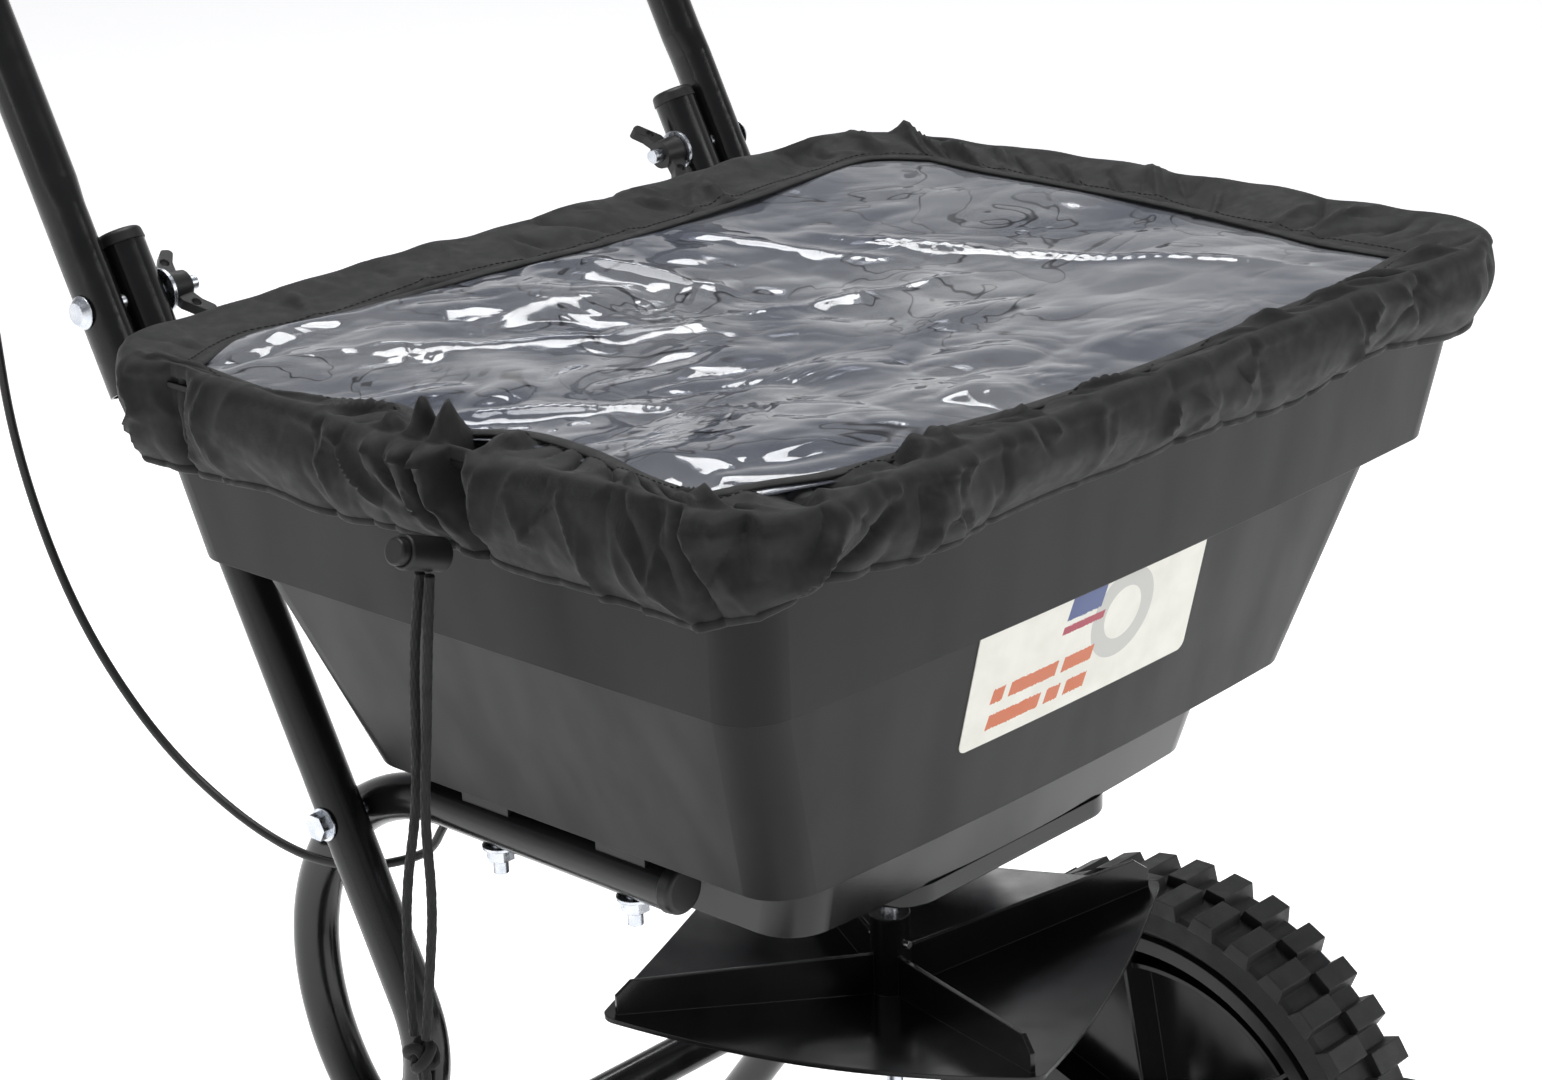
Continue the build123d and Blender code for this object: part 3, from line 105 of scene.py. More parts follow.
CONTROL_CABLE = (
    (-0.058, 0.151, 0.4665), (-0.0585, 0.186, 0.463), (-0.080, 0.206, 0.449), (-0.112, 0.196, 0.438),
    (-0.140, 0.173, 0.440), (-0.166, 0.1635, 0.446), (-0.187, 0.170, 0.448), (-0.199, 0.190, 0.4485),
    (-0.2025, 0.222, 0.451), (-0.205, 0.262, 0.462), (-0.211, 0.304, 0.487), (-0.218, 0.337, 0.524),
    (-0.223, 0.362, 0.564), (-0.226, 0.382, 0.612), (-0.228, 0.394, 0.662), (-0.228, 0.398, 0.712),
    (-0.2265, 0.403, 0.762), (-0.2235, 0.410, 0.806), (-0.2175, 0.417, 0.842), (-0.2085, 0.42283, 0.872),
    CABLE_TOP,
)

# Camera: its place, its three axes as the columns of a matrix, and its lens in millimetres
CAMERA_AT = (-1.2183, -1.1234, 1.2001)
CAMERA_AXES = ((0.6813, 0.2692, -0.6807), (-0.7309, 0.1996, -0.6527), (-0.0398, 0.9422, 0.3328))
CAMERA_LENS = 79.23


def at(x, y, z):
    """A point of the frame, from a Y measured at the hopper's centre line."""
    return Vector((x, MID_Y + y, z))


# ---------------------------------------------------------------- materials
class Finish:
    """A material being made: its Principled shader, and short calls for the nodes that feed it."""

    def __init__(self, name, **values):
        self.material = bpy.data.materials.new(name)
        self.material.use_nodes = True
        self.nodes = self.material.node_tree.nodes
        self.links = self.material.node_tree.links
        self.shader = self.nodes["Principled BSDF"]
        self.place = self.nodes.new("ShaderNodeTexCoord").outputs["Object"]
        self.set(**values)

    def feed(self, socket, value):
        if isinstance(value, bpy.types.NodeSocket):
            self.links.new(value, socket)
        else:
            socket.default_value = value

    def set(self, **values):
        for name, value in values.items():
            self.feed(self.shader.inputs[name.replace("_", " ")], value)

    def node(self, kind, inputs, **settings):
        node = self.nodes.new("ShaderNode" + kind)
        for key, value in settings.items():
            setattr(node, key, value)
        for key, value in inputs.items():
            self.feed(node.inputs[key], value)
        return node

    def noise(self, scale, detail=3.0, stretch=(1, 1, 1)):
        place = self.node("Mapping", {"Vector": self.place, "Scale": stretch}).outputs[0]
        return self.node("TexNoise", {"Vector": place, "Scale": scale, "Detail": detail}).outputs[0]

    def math(self, operation, a, b=0.0):
        return self.node("Math", {0: a, 1: b}, operation=operation).outputs[0]

    def spread(self, value, low, high, start=0.35, end=0.65):
        """value, which runs from start to end, made to run from low to high."""
        inputs = {"Value": value, "From Min": start, "From Max": end, "To Min": low, "To Max": high}
        return self.node("MapRange", inputs).outputs[0]

    def blend(self, share, a, b):
        node = self.node("Mix", {0: share, 6: a, 7: b}, data_type="RGBA")
        return node.outputs[2]

    def soft_edges(self, radius):
        """The normal with the model's sharp edges rounded to a radius."""
        return self.node("Bevel", {"Radius": radius}, samples=4).outputs[0]

    def worn_edges(self, soft):
        """1 along the edges that soft_edges rounds, 0 elsewhere."""
        true = self.node("NewGeometry", {}).outputs["Normal"]
        turned = self.node("VectorMath", {0: soft, 1: true}, operation="DOT_PRODUCT").outputs["Value"]
        return self.spread(turned, 1.0, 0.0, 0.80, 0.97)

    def bump(self, height, strength, distance, normal=None):
        inputs = {"Height": height, "Strength": strength, "Distance": distance}
        if normal is not None:
            inputs["Normal"] = normal
        return self.node("Bump", inputs).outputs[0]


def grey(level, warm=0.0):
    return (level * (1 + warm), level, level * (1 - warm), 1)


def powder_coat():
    """Gloss black powder coat with its slight orange peel, thinner along the edges."""
    f = Finish("powder_coat", IOR=1.5)
    soft = f.soft_edges(0.0008)
    tone = f.spread(f.noise(14), 0.0, 1.0)
    body = f.blend(tone, grey(0.005), grey(0.009))
    wear = f.math("MULTIPLY", f.worn_edges(soft), 0.35)
    f.set(Base_Color=f.blend(wear, body, grey(0.05)))
    f.set(Roughness=f.spread(f.noise(60, 4), 0.14, 0.24))
    f.set(Normal=f.bump(f.noise(420, 2), 0.10, 0.0003, soft))
    return f.material


def moulded(name, dark, light, gloss, grain, warm=0.0, edge=2.0, shine=0.5):
    """Moulded plastic: fine grain, a soft change of tone, paler rubbed edges."""
    f = Finish(name, IOR=1.46, Specular_IOR_Level=shine)
    soft = f.soft_edges(0.0009)
    tone = f.spread(f.noise(9), 0.0, 1.0)
    body = f.blend(tone, grey(dark, warm), grey(light, warm))
    wear = f.math("MULTIPLY", f.worn_edges(soft), 0.45)
    f.set(Base_Color=f.blend(wear, body, grey(light * edge, warm)))
    rubbed = f.noise(30, 5, (1, 1, 0.25))
    f.set(Roughness=f.spread(rubbed, gloss, gloss + 0.12))
    fine = f.math("ADD", f.noise(1500, 2), f.math("MULTIPLY", f.noise(160, 3), 0.5))
    f.set(Normal=f.bump(fine, grain, 0.0003, soft))
    return f.material


def tread_rubber():
    """Dull black tyre with mould grain and a little pale dust in the grain."""
    f = Finish("tread_rubber", IOR=1.5)
    soft = f.soft_edges(0.0012)
    dust = f.spread(f.noise(45, 6), 0.0, 0.5, 0.45, 0.75)
    f.set(Base_Color=f.blend(dust, grey(0.016), grey(0.036, 0.04)))
    f.set(Roughness=f.spread(f.noise(80, 4), 0.42, 0.62))
    f.set(Normal=f.bump(f.noise(700, 4), 0.35, 0.0005, soft))
    return f.material


def foam_rubber():
    """Soft rubber and closed-cell foam, with open pores."""
    f = Finish("foam_rubber", IOR=1.45)
    pores = f.node("TexVoronoi", {"Vector": f.place, "Scale": 900.0}).outputs["Distance"]
    f.set(Base_Color=f.blend(f.spread(f.noise(20), 0.0, 1.0), grey(0.012), grey(0.022)))
    f.set(Roughness=f.spread(pores, 0.62, 0.85, 0.0, 0.8))
    f.set(Normal=f.bump(pores, 0.5, 0.0005, f.soft_edges(0.001)))
    return f.material


def plated(name, low, high, rough, spangle):
    """Bright plated or bare steel: fine spangle and turning marks."""
    f = Finish(name, Metallic=1.0)
    soft = f.soft_edges(0.0006)
    tone = f.spread(f.noise(spangle, 4), 0.0, 1.0)
    f.set(Base_Color=f.blend(tone, low, high))
    f.set(Roughness=f.spread(f.noise(spangle * 2, 3), rough, rough + 0.16))
    f.set(Normal=f.bump(f.noise(900, 3, (1, 6, 6)), 0.18, 0.0002, soft))
    return f.material


def nylon():
    f = Finish("nylon", IOR=1.53, Subsurface_Weight=0.1)
    f.set(Base_Color=f.blend(f.spread(f.noise(40), 0.0, 1.0), grey(0.62, 0.05), grey(0.72, 0.05)))
    f.set(Roughness=f.spread(f.noise(90, 4), 0.35, 0.5))
    f.set(Normal=f.bump(f.noise(800), 0.12, 0.0002, f.soft_edges(0.0005)))
    return f.material


def woven(name, dark, light, threads):
    """Fine twill: two sets of threads that pass over each other, each a little different."""
    f = Finish(name, IOR=1.45, Sheen_Weight=0.10, Sheen_Roughness=0.4, Specular_IOR_Level=0.35)
    across = f.node("SeparateXYZ", {0: f.place})
    x, y, z = across.outputs
    run = f.math("ADD", x, y)
    rise = f.math("SUBTRACT", f.math("ADD", z, y), x)
    warp = f.math("SINE", f.math("MULTIPLY", run, threads))
    weft = f.math("SINE", f.math("MULTIPLY", rise, threads))
    twill = f.math("MULTIPLY", warp, weft)
    uneven = f.math("MULTIPLY", f.noise(500, 3), 0.8)
    cloth = f.math("ADD", f.math("MULTIPLY", twill, 0.5), uneven)
    tone = f.math("MULTIPLY", f.spread(cloth, 0.0, 1.0, -0.1, 0.9), f.spread(f.noise(25, 4), 0.7, 1.0))
    f.set(Base_Color=f.blend(tone, dark, light))
    f.set(Roughness=f.spread(f.noise(120, 4), 0.55, 0.72))
    f.set(Normal=f.bump(cloth, 0.35, 0.0003))
    return f.material


def clear_film():
    """Clear soft sheet: glossy, a little milky, with fine creases and scuffs, and dark lines of painted
    reflection in its colour.
    """
    f = Finish("clear_film", IOR=1.52, Transmission_Weight=0.82, Specular_IOR_Level=0.6)
    haze = f.spread(f.noise(9, 3), 0.0, 1.0, 0.36, 0.66)
    tint = f.blend(haze, (0.40, 0.43, 0.52, 1), (0.78, 0.80, 0.84, 1))
    swirl = {"Vector": f.place, "Scale": 13.0, "Detail": 2.0, "Distortion": 1.6}
    winding = f.node("TexNoise", swirl).outputs[0]
    level = f.math("ABSOLUTE", f.math("SUBTRACT", winding, 0.5))
    # Painted reflection: dark lines along the noise's mid level, in random patches, are mixed into the film's
    # colour below.
    painted_reflection_line = f.spread(level, 1.0, 0.0, 0.003, 0.012)
    painted_reflection_patch = f.spread(f.noise(7, 2), 0.0, 0.9, 0.42, 0.52)
    f.set(Base_Color=f.blend(f.math("MULTIPLY", painted_reflection_line, painted_reflection_patch), tint, (0.03, 0.035, 0.05, 1)))
    f.set(Roughness=f.spread(f.noise(35, 5), 0.02, 0.09))
    f.set(Normal=f.bump(f.math("ADD", f.noise(14, 2), f.math("MULTIPLY", level, 2.0)), 0.12, 0.006))
    return f.material


def label_print():
    """Cream label with a plain badge and bars where the printed lines were; no lettering."""
    f = Finish("label_print", IOR=1.5)
    low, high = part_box("hopper_label")
    width, height = high.x - low.x, high.z - low.z
    places = f.node("SeparateXYZ", {0: f.place})
    across = f.math("DIVIDE", f.math("SUBTRACT", places.outputs[0], low.x), width)
    up = f.math("DIVIDE", f.math("SUBTRACT", places.outputs[2], low.z), height)
    ink_noise = f.spread(f.noise(900, 3), -0.006, 0.006)

    def bar(middle_x, middle_y, half_x, half_y):
        lean = f.math("MULTIPLY", f.math("SUBTRACT", up, middle_y), 0.08)
        off_x = f.math("ABSOLUTE", f.math("SUBTRACT", f.math("SUBTRACT", across, lean), middle_x))
        off_y = f.math("ABSOLUTE", f.math("SUBTRACT", f.math("ADD", up, ink_noise), middle_y))
        return f.math("MULTIPLY", f.math("LESS_THAN", off_x, half_x), f.math("LESS_THAN", off_y, half_y))

    def ring(middle_x, middle_y, inner, outer):
        dx = f.math("MULTIPLY", f.math("SUBTRACT", across, middle_x), width / height)
        dy = f.math("SUBTRACT", up, middle_y)
        far = f.math("SQRT", f.math("ADD", f.math("MULTIPLY", dx, dx), f.math("MULTIPLY", dy, dy)))
        return f.math("MULTIPLY", f.math("LESS_THAN", far, outer), f.math("GREATER_THAN", far, inner))

    paper = f.blend(f.spread(f.noise(50, 4), 0.0, 1.0), (0.70, 0.69, 0.62, 1), (0.77, 0.76, 0.69, 1))
    ink = paper
    shapes = [
        (ring(0.64, 0.58, 0.20, 0.34), (0.50, 0.50, 0.47, 1)),
        (bar(0.46, 0.64, 0.09, 0.03), (0.36, 0.03, 0.06, 1)),
        (bar(0.46, 0.80, 0.075, 0.09), (0.05, 0.08, 0.22, 1)),
    ]
    for middle_y, lengths in ((0.36, (0.05, 0.20, 0.13)), (0.16, (0.22, 0.06, 0.09))):
        start = 0.10
        for length in lengths:
            shapes.append((bar(start + length / 2, middle_y, length / 2, 0.055), (0.55, 0.13, 0.04, 1)))
            start += length + 0.025
    for share, colour in shapes:
        ink = f.blend(share, ink, colour)
    f.set(Base_Color=ink, Roughness=f.spread(f.noise(70, 4), 0.28, 0.42))
    f.set(Normal=f.bump(f.noise(600, 3), 0.08, 0.0002))
    return f.material


MATERIALS = {
    "black_paint": powder_coat(),
    "hopper_plastic": moulded("hopper_plastic_satin", 0.007, 0.010, 0.29, 0.16, 0.01, 1.6, 0.22),
    "gloss_black": moulded("gloss_black_plastic", 0.005, 0.008, 0.13, 0.07, 0.0, 4.0),
    "black_plastic": moulded("black_moulding", 0.010, 0.018, 0.34, 0.20, 0.0, 3.0),
    "tyre": tread_rubber(),
    "rubber": foam_rubber(),
    "zinc": plated("zinc_plate", (0.62, 0.66, 0.72, 1), (0.80, 0.82, 0.86, 1), 0.20, 180.0),
    "steel": plated("bare_steel", (0.50, 0.50, 0.50, 1), (0.62, 0.61, 0.60, 1), 0.26, 120.0),
    "cast": plated("cast_gear", (0.28, 0.27, 0.26, 1), (0.40, 0.39, 0.37, 1), 0.42, 240.0),
    "nylon": nylon(),
    "label": label_print(),
    "fabric": woven("cover_twill", grey(0.005), grey(0.015), 9000.0),
    "film": clear_film(),
    "cord": woven("cord_yarn", grey(0.006), grey(0.020), 14000.0),
}


def dress_nodes():
    """Gives every carried node the full version of the finish its record slot names."""
    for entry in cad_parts.values():
        names = [slot.material.name.split(".")[0] for slot in entry.material_slots if slot.material]
        for index, name in enumerate(names):
            entry.material_slots[index].material = MATERIALS[name]


def add_piece(name, vertices, faces, finish, smooth=True):
    mesh = bpy.data.meshes.new(name)
    mesh.from_pydata([tuple(v) for v in vertices], [], faces)
    mesh.materials.append(MATERIALS[finish])
    mesh.polygons.foreach_set("use_smooth", [smooth] * len(mesh.polygons))
    mesh.update()
    piece = bpy.data.objects.new(name, mesh)
    bpy.context.scene.collection.objects.link(piece)
    return piece


def grid_faces(rows, columns, closed):
    """Quads of a grid stored row by row; closed joins the last column to the first."""
    faces = []
    for row in range(rows - 1):
        for column in range(columns if closed else columns - 1):
            after = (column + 1) % columns
            here, below = row * columns, (row + 1) * columns
            faces.append((here + column, here + after, below + after, below + column))
    return faces


# ---------------------------------------------------------------- cords
def smooth_line(points):
    """The smooth line that a NURBS spline with these control points draws."""
    curve = bpy.data.curves.new("route", "CURVE")
    curve.dimensions = "3D"
    curve.resolution_u = 24
    spline = curve.splines.new("NURBS")
    spline.points.add(len(points) - 1)
    for point, place in zip(spline.points, points):
        point.co = (*at(*place), 1)
    spline.order_u = 3
    spline.use_endpoint_u = True
    holder = bpy.data.objects.new("route", curve)
    mesh = bpy.data.meshes.new_from_object(holder)
    line = [v.co.copy() for v in mesh.vertices]
    bpy.data.objects.remove(holder)
    return line


def even_line(line, step):
    """The same line with its points the same distance apart."""
    places = np.array(line)
    runs = np.r_[0, np.cumsum(np.linalg.norm(np.diff(places, axis=0), axis=1))]
    marks = np.linspace(0, runs[-1], max(2, round(runs[-1] / step)))
    return [Vector(p) for p in np.stack([np.interp(marks, runs, places[:, k]) for k in range(3)], axis=1)]


def tube(line, radius, around, relief=None):
    """Vertices and faces of a closed tube along a line; relief(distance, turn) is added to its radius."""
    vertices, faces = [], []
    side = Vector((1, 0, 0))
    distance = 0.0
    for index, here in enumerate(line):
        before, after = line[max(index - 1, 0)], line[min(index + 1, len(line) - 1)]
        forward = (after - before).normalized()
        side = (side - forward * side.dot(forward)).normalized()
        up = forward.cross(side)
        distance += (here - before).length
        for k in range(around):
            turn = 2 * math.pi * k / around
            reach = radius + (relief(distance, turn) if relief else 0.0)
            vertices.append(here + (side * math.cos(turn) + up * math.sin(turn)) * reach)
    faces = grid_faces(len(line), around, True)
    faces.append(tuple(reversed(range(around))))
    faces.append(tuple((len(line) - 1) * around + k for k in range(around)))
    return vertices, faces


def braid(distance, turn):
    """Height of a 16-strand braid: two sets of strands that pass over and under each other."""
    pitch = 2 * math.pi / 0.020
    left = 8 * turn + distance * pitch * 2
    right = 8 * turn - distance * pitch * 2
    over = 0.5 + 0.5 * math.cos((left + right) / 2) * math.cos((left - right) / 2)
    strands = over * abs(math.cos(left / 2)) + (1 - over) * abs(math.cos(right / 2))
    return 0.00045 * (strands - 0.6)


def knot_line():
    """An overhand knot of the two strands pulled tight; its hanging ends are separate tails."""
    middle = at(-0.3075, -0.0085, 0.4465)
    line = []
    for k in range(-6, 97):
        turn = 2 * math.pi * k / 96 * 1.02
        reach = 0.0046 + 0.0022 * math.cos(3 * turn)
        across, along = reach * math.cos(2 * turn), reach * math.sin(2 * turn)
        line.append(middle + Vector((across, along, 0.0050 * math.sin(3 * turn))))
    return line


def make_cords():
    knot = add_piece("drawcord_overhand_knot", *tube(knot_line(), 0.0026, 20, braid), "cord")
    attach(knot, "cover")
    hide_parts("drawcord_knot")
    tail_starts = ((-0.3085, -0.0115, 0.442), (-0.3065, -0.0055, 0.443))
    for name, start, drop in zip(("knot_tail_front", "knot_tail_back"), tail_starts, (0.020, 0.016)):
        x, y, z = start
        route = (start, (x - 0.001, y - 0.001, z - drop * 0.5), (x + 0.001, y - 0.002, z - drop))
        tail = add_piece(name, *tube(even_line(smooth_line(route), 0.0006), CORD_RADIUS, 32, braid), "cord")
        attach(tail, "cover")
    for name, route, length in (
        ("drawcord_front", FRONT_CORD, FRONT_LENGTH), ("drawcord_back", BACK_CORD, BACK_LENGTH),
    ):
        line = even_line(smooth_line(route), 0.0006)
        cord = add_piece(f"{name}_braided", *tube(line, CORD_RADIUS, 48, braid), "cord")
        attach(cord, "cover")
        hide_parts(name)


def make_control_cable():
    """Sleeved cable from the gate's bracket up to the lever."""
    line = even_line(smooth_line(CONTROL_CABLE), 0.003)
    cable = add_piece("control_cable_sleeve", *tube(line, CABLE_RADIUS, 16), "black_plastic")
    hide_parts("control_cable")
    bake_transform(cable)


# ---------------------------------------------------------------- cover
def rim_side(side, share, half_x, half_y, corner):
    """Point and outward direction on a rounded rectangle: one side, from mid-corner to mid-corner."""
    half = half_y if side % 2 == 0 else half_x
    across = half_x if side % 2 == 0 else half_y
    arc = corner * math.pi / 4
    straight = 2 * (half - corner)
    run = share * (straight + 2 * arc)
    if run < arc:
        turn = (run - arc) / corner
        along = half - corner
    elif run > arc + straight:
        turn = (run - arc - straight) / corner
        along = corner - half
    else:
        turn = 0.0
        along = half - corner - (run - arc)
    place = (-(across - corner) - corner * math.cos(turn), along - corner * math.sin(turn))
    outward = (-math.cos(turn), -math.sin(turn))
    for _ in range(side):
        place = (-place[1], place[0])
        outward = (-outward[1], outward[0])
    return Vector((*place, 0)), Vector((*outward, 0))


def window_side(side, share):
    """Point on one side of the window's edge, smooth between its bends."""
    points = [Vector((*p, 0)) for p in WINDOW_EDGE[side]]
    runs = [0.0]
    for before, after in zip(points, points[1:]):
        runs.append(runs[-1] + (after - before).length)
    run = share * runs[-1]
    k = max(i for i in range(len(points) - 1) if runs[i] <= run + 1e-9)
    t = (run - runs[k]) / (runs[k + 1] - runs[k])
    before = points[max(k - 1, 0)]
    after = points[min(k + 2, len(points) - 1)]
    slope_in, slope_out = (points[k + 1] - before) / 2, (after - points[k]) / 2
    return (
        points[k] * (2 * t ** 3 - 3 * t ** 2 + 1) + slope_in * (t ** 3 - 2 * t ** 2 + t)
        + points[k + 1] * (3 * t ** 2 - 2 * t ** 3) + slope_out * (t ** 3 - t ** 2)
    )


def scatter_folds():
    """Creases of the crumpled cloth: place round the cover, drop, length, slant, height and half width."""
    dice = random.Random(41)
    folds = []
    for _ in range(330):
        folds.append((
            dice.random(), dice.uniform(-0.055, 0.050), dice.uniform(0.012, 0.040), dice.gauss(0.0, 0.45),
            dice.uniform(-0.0034, 0.0042), dice.uniform(0.0025, 0.0070),
        ))
    for start, spread, strength, count in BUNCHES:
        for _ in range(count):
            off = dice.gauss(0.0, spread)
            folds.append((
                (start + off) % 1.0, dice.uniform(-0.010, 0.035), dice.uniform(0.020, 0.045), -off * 22,
                strength * dice.uniform(-0.009, 0.009), dice.uniform(0.004, 0.009),
            ))
    return folds


def near_folds(folds, run, whole):
    """The folds that can reach a column of cloth."""
    close = []
    for start, *rest in folds:
        gap = (run - start * whole + whole / 2) % whole - whole / 2
        if abs(gap) < 0.07:
            close.append((gap, *rest))
    return close


def crumple(close, drop):
    """How far the cloth stands out at a distance down from the rim: sharp crests and sharp valleys."""
    total = 0.0
    for gap, start, length, slant, height, width in close:
        t = (drop - start) / length
        if abs(t) >= 1:
            continue
        off = abs(gap - slant * (drop - start)) / width
        if off < 3:
            total += 1.35 * height * (1 - t * t) * math.exp(-off * 1.3)
    return total


def gathers(run, drop):
    """Narrow folds that the elastic pulls in; drop runs 0 at the rim to 1 at the hem."""
    slant = run + 0.05 * drop * noise.noise(Vector((run * 6, 0, 3)))
    wobble = 0.02 * noise.noise(Vector((run * 15, drop * 1.5, 7)))
    share = max(0.0, 0.45 + 0.9 * noise.noise(Vector((run * 9, 5, 1))))
    fold = abs(math.sin(math.pi * (slant + wobble) / 0.031)) ** 0.7 - 0.5
    return 0.0050 * fold * share * drop ** 1.5


def border_columns():
    """Window edge point, rim point, outward direction and distance round, column by column."""
    columns = []
    run = 0.0
    for side in range(4):
        for step in range(SIDE_STEPS):
            share = step / SIDE_STEPS
            rim, outward = rim_side(side, share, SKIRT_X - 0.008, SKIRT_Y - 0.008, 0.040)
            if columns:
                run += (rim - columns[-1][1]).length
            columns.append((window_side(side, share), rim, outward, run))
    return columns


def crest_height(run, outward):
    """How high the cloth stands along the rim: it puffs up at the back and right."""
    lift = 0.006 + 0.004 * max(outward.x, outward.y, 0)
    wander = 0.005 * noise.noise(Vector((run * 7, 1, 0)))
    return RIM_Z + lift + wander + 0.002 * noise.noise(Vector((run * 30, 2, 0)))


def make_border(columns):
    """Cloth border: from the window's edge over the rim and down to the gathered hem."""
    top_rows, roll_rows, skirt_rows = 16, 6, 22
    rows = top_rows + roll_rows + skirt_rows
    roll = 0.007
    vertices = [None] * (rows * len(columns))
    folds = scatter_folds()
    whole = columns[-1][3] + (columns[0][1] - columns[-1][1]).length
    for column, (edge, rim, outward, run) in enumerate(columns):
        close = near_folds(folds, run, whole)
        crest = crest_height(run, outward)
        hem = HEM_Z + 0.011 + 0.006 * noise.noise(Vector((run * 12, 9, 0))) + 0.004 * outward.x
        hem -= 0.006 * outward.y * (outward.y < 0)
        for row in range(rows):
            if row < top_rows:
                t = row / top_rows
                place = edge.lerp(rim, t)
                fold = noise.noise(Vector((run * 12, t * 1.2, 4))) * 0.005
                fold += crumple(close, (t - 1) * (rim - edge).length * 0.8) * 1.3
                z = FILM_Z + 0.002 + (crest - FILM_Z - 0.002) * t ** 1.2 + fold * math.sin(math.pi * t) ** 0.6
                place = place + Vector((0, 0, z))
            elif row < top_rows + roll_rows:
                turn = (row - top_rows) / roll_rows * math.pi / 2
                push = max(crumple(close, roll * turn / 2), -0.006) * math.sin(turn)
                place = rim + outward * (roll * math.sin(turn) + push)
                place += Vector((0, 0, crest - roll * (1 - math.cos(turn))))
            else:
                drop = (row - top_rows - roll_rows) / (skirt_rows - 1)
                z = (crest - roll) * (1 - drop) + hem * drop
                tuck = -0.013 * drop ** 2.4 + 0.002 * math.sin(math.pi * drop)
                push = crumple(close, roll + drop * 0.048) + gathers(run, drop)
                push += 0.003 * noise.noise(Vector((run * 14, drop * 2.0 + run * 4, 12)))
                reach = max(roll + tuck + push, -0.012)
                place = rim + outward * min(reach, 0.0145) + Vector((0, 0, z))
            vertices[row * len(columns) + column] = place + Vector((0, MID_Y, 0))
    border = add_piece("cover_border_cloth", vertices, grid_faces(rows, len(columns), True), "fabric")
    thickness = border.modifiers.new("cloth", "SOLIDIFY")
    thickness.thickness = 0.0008
    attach(border, "cover")
    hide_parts("cover_border")
    return border, vertices


def strip(name, line, half_width, half_height, finish):
    """Flat band with rounded edges along a closed line of points that lies near level."""
    vertices = []
    count = len(line)
    turns = [2 * math.pi * k / 10 for k in range(10)]
    profile = [(half_width * math.cos(turn), half_height * math.sin(turn)) for turn in turns]
    for index, here in enumerate(line):
        forward = (line[(index + 1) % count] - line[index - 1]).normalized()
        across = forward.cross(Vector((0, 0, 1))).normalized()
        up = across.cross(forward)
        vertices.extend(here + across * a + up * b for a, b in profile)
    faces = grid_faces(count + 1, 10, True)
    faces = [tuple(i % (10 * count) for i in face) for face in faces]
    return add_piece(name, vertices, faces, finish)


def stitches(name, line, spacing, length):
    """Short thread stitches laid along a line of points."""
    marks = even_line(line, spacing)
    vertices, faces = [], []
    for here, after in zip(marks, marks[1:]):
        forward = (after - here).normalized()
        side = forward.cross(Vector((0, 0, 1))).normalized() * 0.0004
        up = side.cross(forward).normalized() * 0.0004
        base = len(vertices)
        for t, size in ((0.0, 0.3), (0.25, 1.0), (0.75, 1.0), (1.0, 0.3)):
            middle = here + forward * length * t
            wide, tall = side * size, up * size
            vertices.extend((middle + wide, middle + tall, middle - wide, middle - tall))
        faces.extend(tuple(base + i for i in face) for face in grid_faces(4, 4, True))
        faces.append((base + 3, base + 2, base + 1, base))
        faces.append((base + 12, base + 13, base + 14, base + 15))
    return add_piece(name, vertices, faces, "cord")


# Long creases in the film: start, end (from the centre line), height and half width
FILM_CREASES = (
    ((0.10, 0.11), (0.185, -0.17), 0.0035, 0.006),
    ((-0.26, 0.15), (-0.05, 0.02), 0.003, 0.010),
    ((-0.05, 0.17), (0.00, 0.06), 0.005, 0.008),
    ((-0.26, 0.01), (-0.16, -0.06), 0.004, 0.007),
    ((-0.10, 0.05), (0.10, -0.02), 0.003, 0.012),
    ((0.05, 0.16), (0.10, 0.02), 0.0025, 0.009),
)


def film_height(x, y):
    """Height of the film above its plane: it sags, buckles and creases."""
    sag = -0.010 * math.exp(-(((x + 0.08) / 0.16) ** 2) - ((y + 0.02) / 0.11) ** 2)
    sag -= 0.006 * math.exp(-(((x - 0.12) / 0.12) ** 2) - ((y - 0.03) / 0.10) ** 2)
    broad = 0.0040 * noise.noise(Vector((x * 7, y * 10, 2)))
    shift = 0.02 * noise.noise(Vector((x * 11, y * 11, 6)))
    buckled = 0.0060 * abs(noise.noise(Vector((x * 8 + shift * 20, y * 13, 5))))
    buckled += 0.0038 * abs(noise.noise(Vector((x * 19, y * 24 + shift * 30, 9))))
    busy = max(0.0, 0.45 + 1.4 * noise.noise(Vector((x * 7 + 3, y * 9, 8))) - 1.4 * x)
    buckled += 0.0011 * busy * abs(noise.noise(Vector((x * 48, y * 52, 1))))
    calm = 1.0 - 0.55 * min(1.0, max(0.0, (x + 0.02) / 0.12))
    total = sag + broad + buckled * calm
    here = Vector((x, y))
    for start, end, height, width in FILM_CREASES:
        a, b = Vector(start), Vector(end)
        t = (here - a).dot(b - a) / (b - a).length_squared
        off = (here - a - (b - a) * t).length / width
        if 0 < t < 1 and off < 4:
            total += height * math.sin(math.pi * t) ** 0.6 * math.exp(-off * 1.2)
    return total


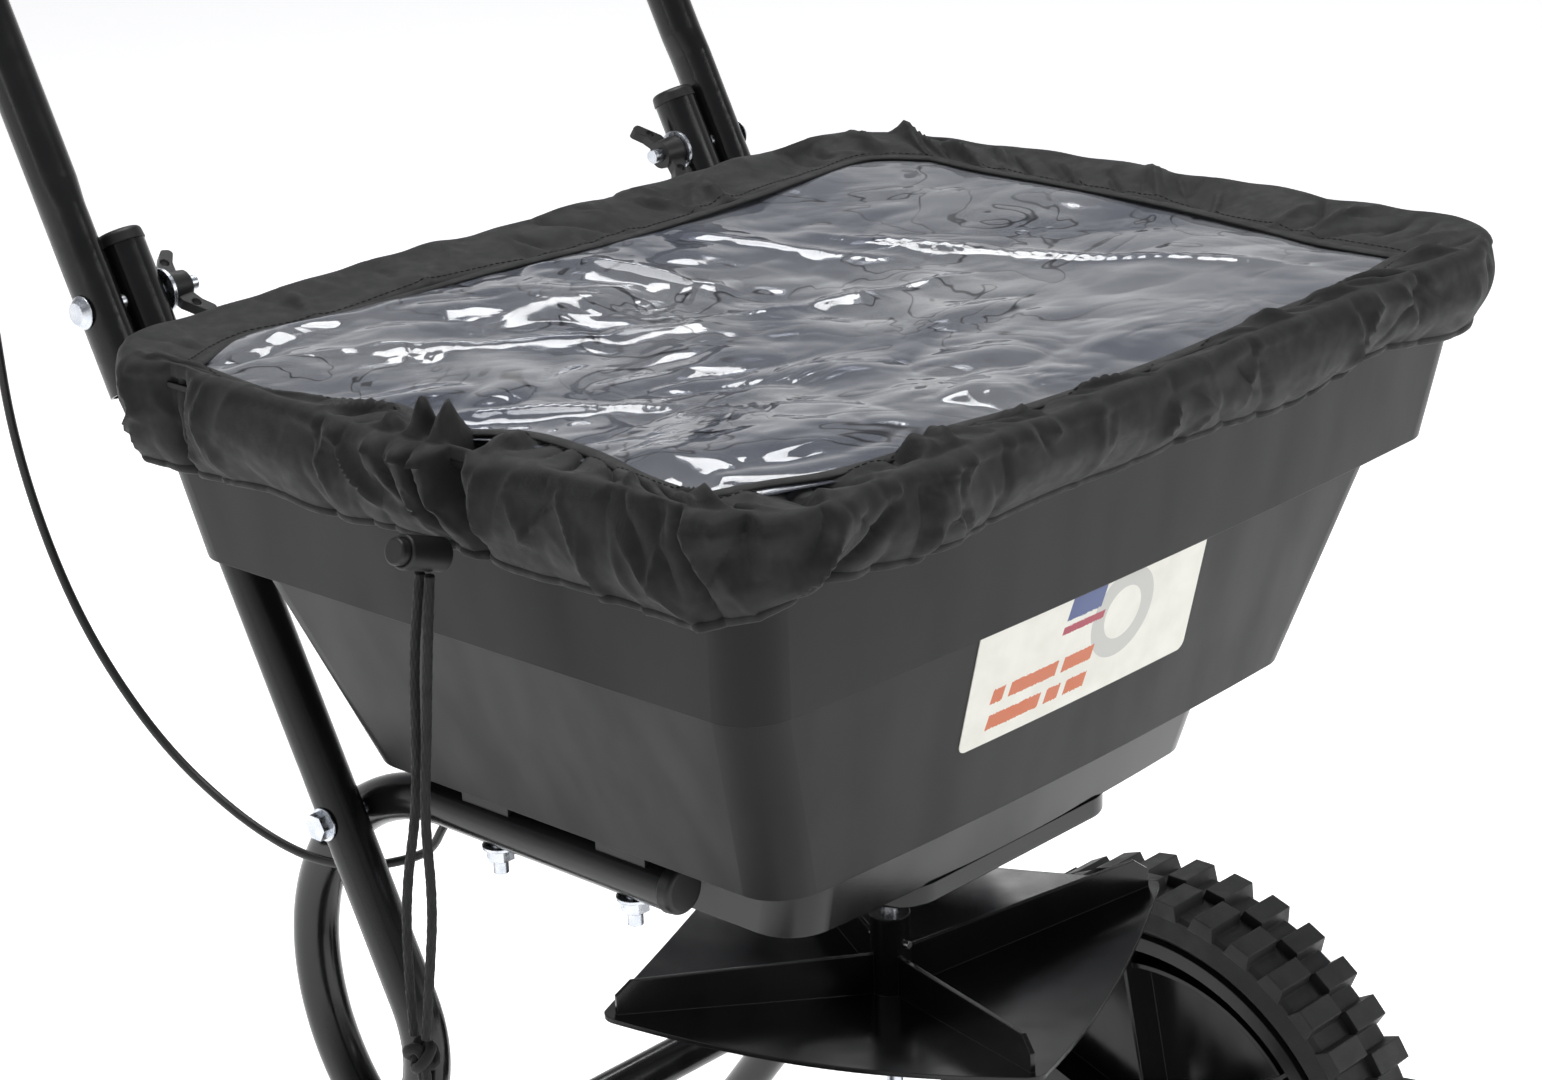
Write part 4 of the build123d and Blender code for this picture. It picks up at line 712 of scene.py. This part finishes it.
def make_window(columns):
    """Clear film, sewn under the border's edge and creased by its folding."""
    rings, count = 72, len(columns)
    vertices = []
    centre = Vector((-0.01, -0.01, 0))
    for ring in range(rings + 1):
        t = ring / rings
        for edge, rim, _, _ in columns:
            outer = edge.lerp(rim, 0.25)
            flat = centre.lerp(outer, 0.004 + 0.996 * t)
            inside = min(1.0, (outer - flat).length / 0.030)
            z = FILM_Z + film_height(flat.x, flat.y) * inside + 0.0006
            vertices.append(Vector((flat.x, MID_Y + flat.y, z)))
    faces = grid_faces(rings + 1, count, True)
    faces.append(tuple(range(count)))
    film = add_piece("cover_window_film", vertices, faces, "film")
    thickness = film.modifiers.new("film", "SOLIDIFY")
    thickness.thickness = 0.0004
    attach(film, "cover")
    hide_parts("cover_window")
    return film


def make_cover():
    columns = border_columns()
    border, vertices = make_border(columns)
    count = len(columns)
    film = make_window(columns)
    edge_line = [v + Vector((0, 0, 0.0004)) for v in vertices[:count]]
    binding = strip("cover_window_binding", edge_line, 0.0042, 0.0011, "fabric")
    seam_line = [v + Vector((0, 0, 0.0010)) for v in vertices[2 * count:3 * count]]
    seam = stitches("cover_window_stitches", seam_line, 0.0040, 0.0028)
    hem_line = vertices[-count:]
    hem = strip("cover_elastic_hem", hem_line, 0.0026, 0.0030, "fabric")
    for piece in (binding, seam, hem):
        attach(piece, "cover")


# ---------------------------------------------------------------- studio
def make_studio():
    """Plain pale floor, surroundings that darken overhead, and four soft lights."""
    world = bpy.data.worlds.new("studio")
    world.use_nodes = True
    bpy.context.scene.world = world
    nodes, links = world.node_tree.nodes, world.node_tree.links
    place = nodes.new("ShaderNodeTexCoord")
    split = nodes.new("ShaderNodeSeparateXYZ")
    ramp = nodes.new("ShaderNodeValToRGB")
    ramp.color_ramp.elements[0].position = 0.02
    ramp.color_ramp.elements[0].color = (0.85, 0.85, 0.85, 1)
    ramp.color_ramp.elements[1].position = 0.40
    ramp.color_ramp.elements[1].color = (0.20, 0.205, 0.22, 1)
    links.new(place.outputs["Generated"], split.inputs[0])
    links.new(split.outputs[2], ramp.inputs[0])
    links.new(ramp.outputs[0], nodes["Background"].inputs[0])
    nodes["Background"].inputs[1].default_value = 1.0

    floor = bpy.data.meshes.new("floor")
    reach = 12.0
    corners = [(-reach, -reach, 0), (reach, -reach, 0), (reach, reach, 0), (-reach, reach, 0)]
    floor.from_pydata(corners, [], [(0, 1, 2, 3)])
    paint = Finish("floor_paint", Roughness=0.9, Emission_Color=grey(1.0), Emission_Strength=0.68)
    paint.set(Base_Color=paint.blend(paint.noise(0.8), grey(0.90), grey(0.93)))
    floor.materials.append(paint.material)
    ground = bpy.data.objects.new("floor", floor)
    bpy.context.scene.collection.objects.link(ground)

    for name, place, power, size in (
        ("top", (0.2, 0.2, 3.2), 60, 2.0), ("left", (-3.0, 0.6, 2.2), 12, 1.6),
        ("front", (1.4, -3.2, 1.8), 26, 1.8), ("rear", (2.4, 2.2, 3.4), 14, 0.9),
    ):
        light = bpy.data.lights.new(name, "AREA")
        light.energy = power
        light.size = size
        lamp = bpy.data.objects.new(name, light)
        lamp.location = place
        lamp.rotation_euler = (Vector((0, MID_Y, 0.6)) - Vector(place)).to_track_quat("-Z", "Y").to_euler()
        bpy.context.scene.collection.objects.link(lamp)


def make_camera():
    camera = bpy.data.cameras.new("camera")
    camera.lens = CAMERA_LENS
    camera.sensor_width = 36.0
    viewer = bpy.data.objects.new("camera", camera)
    axes = Matrix(CAMERA_AXES).to_4x4()
    viewer.matrix_world = Matrix.Translation(at(*CAMERA_AT)) @ axes
    bpy.context.scene.collection.objects.link(viewer)
    bpy.context.scene.camera = viewer
    bpy.context.scene.view_settings.view_transform = "Standard"


make_camera()
make_studio()
dress_nodes()
make_cords()
make_control_cable()
make_cover()
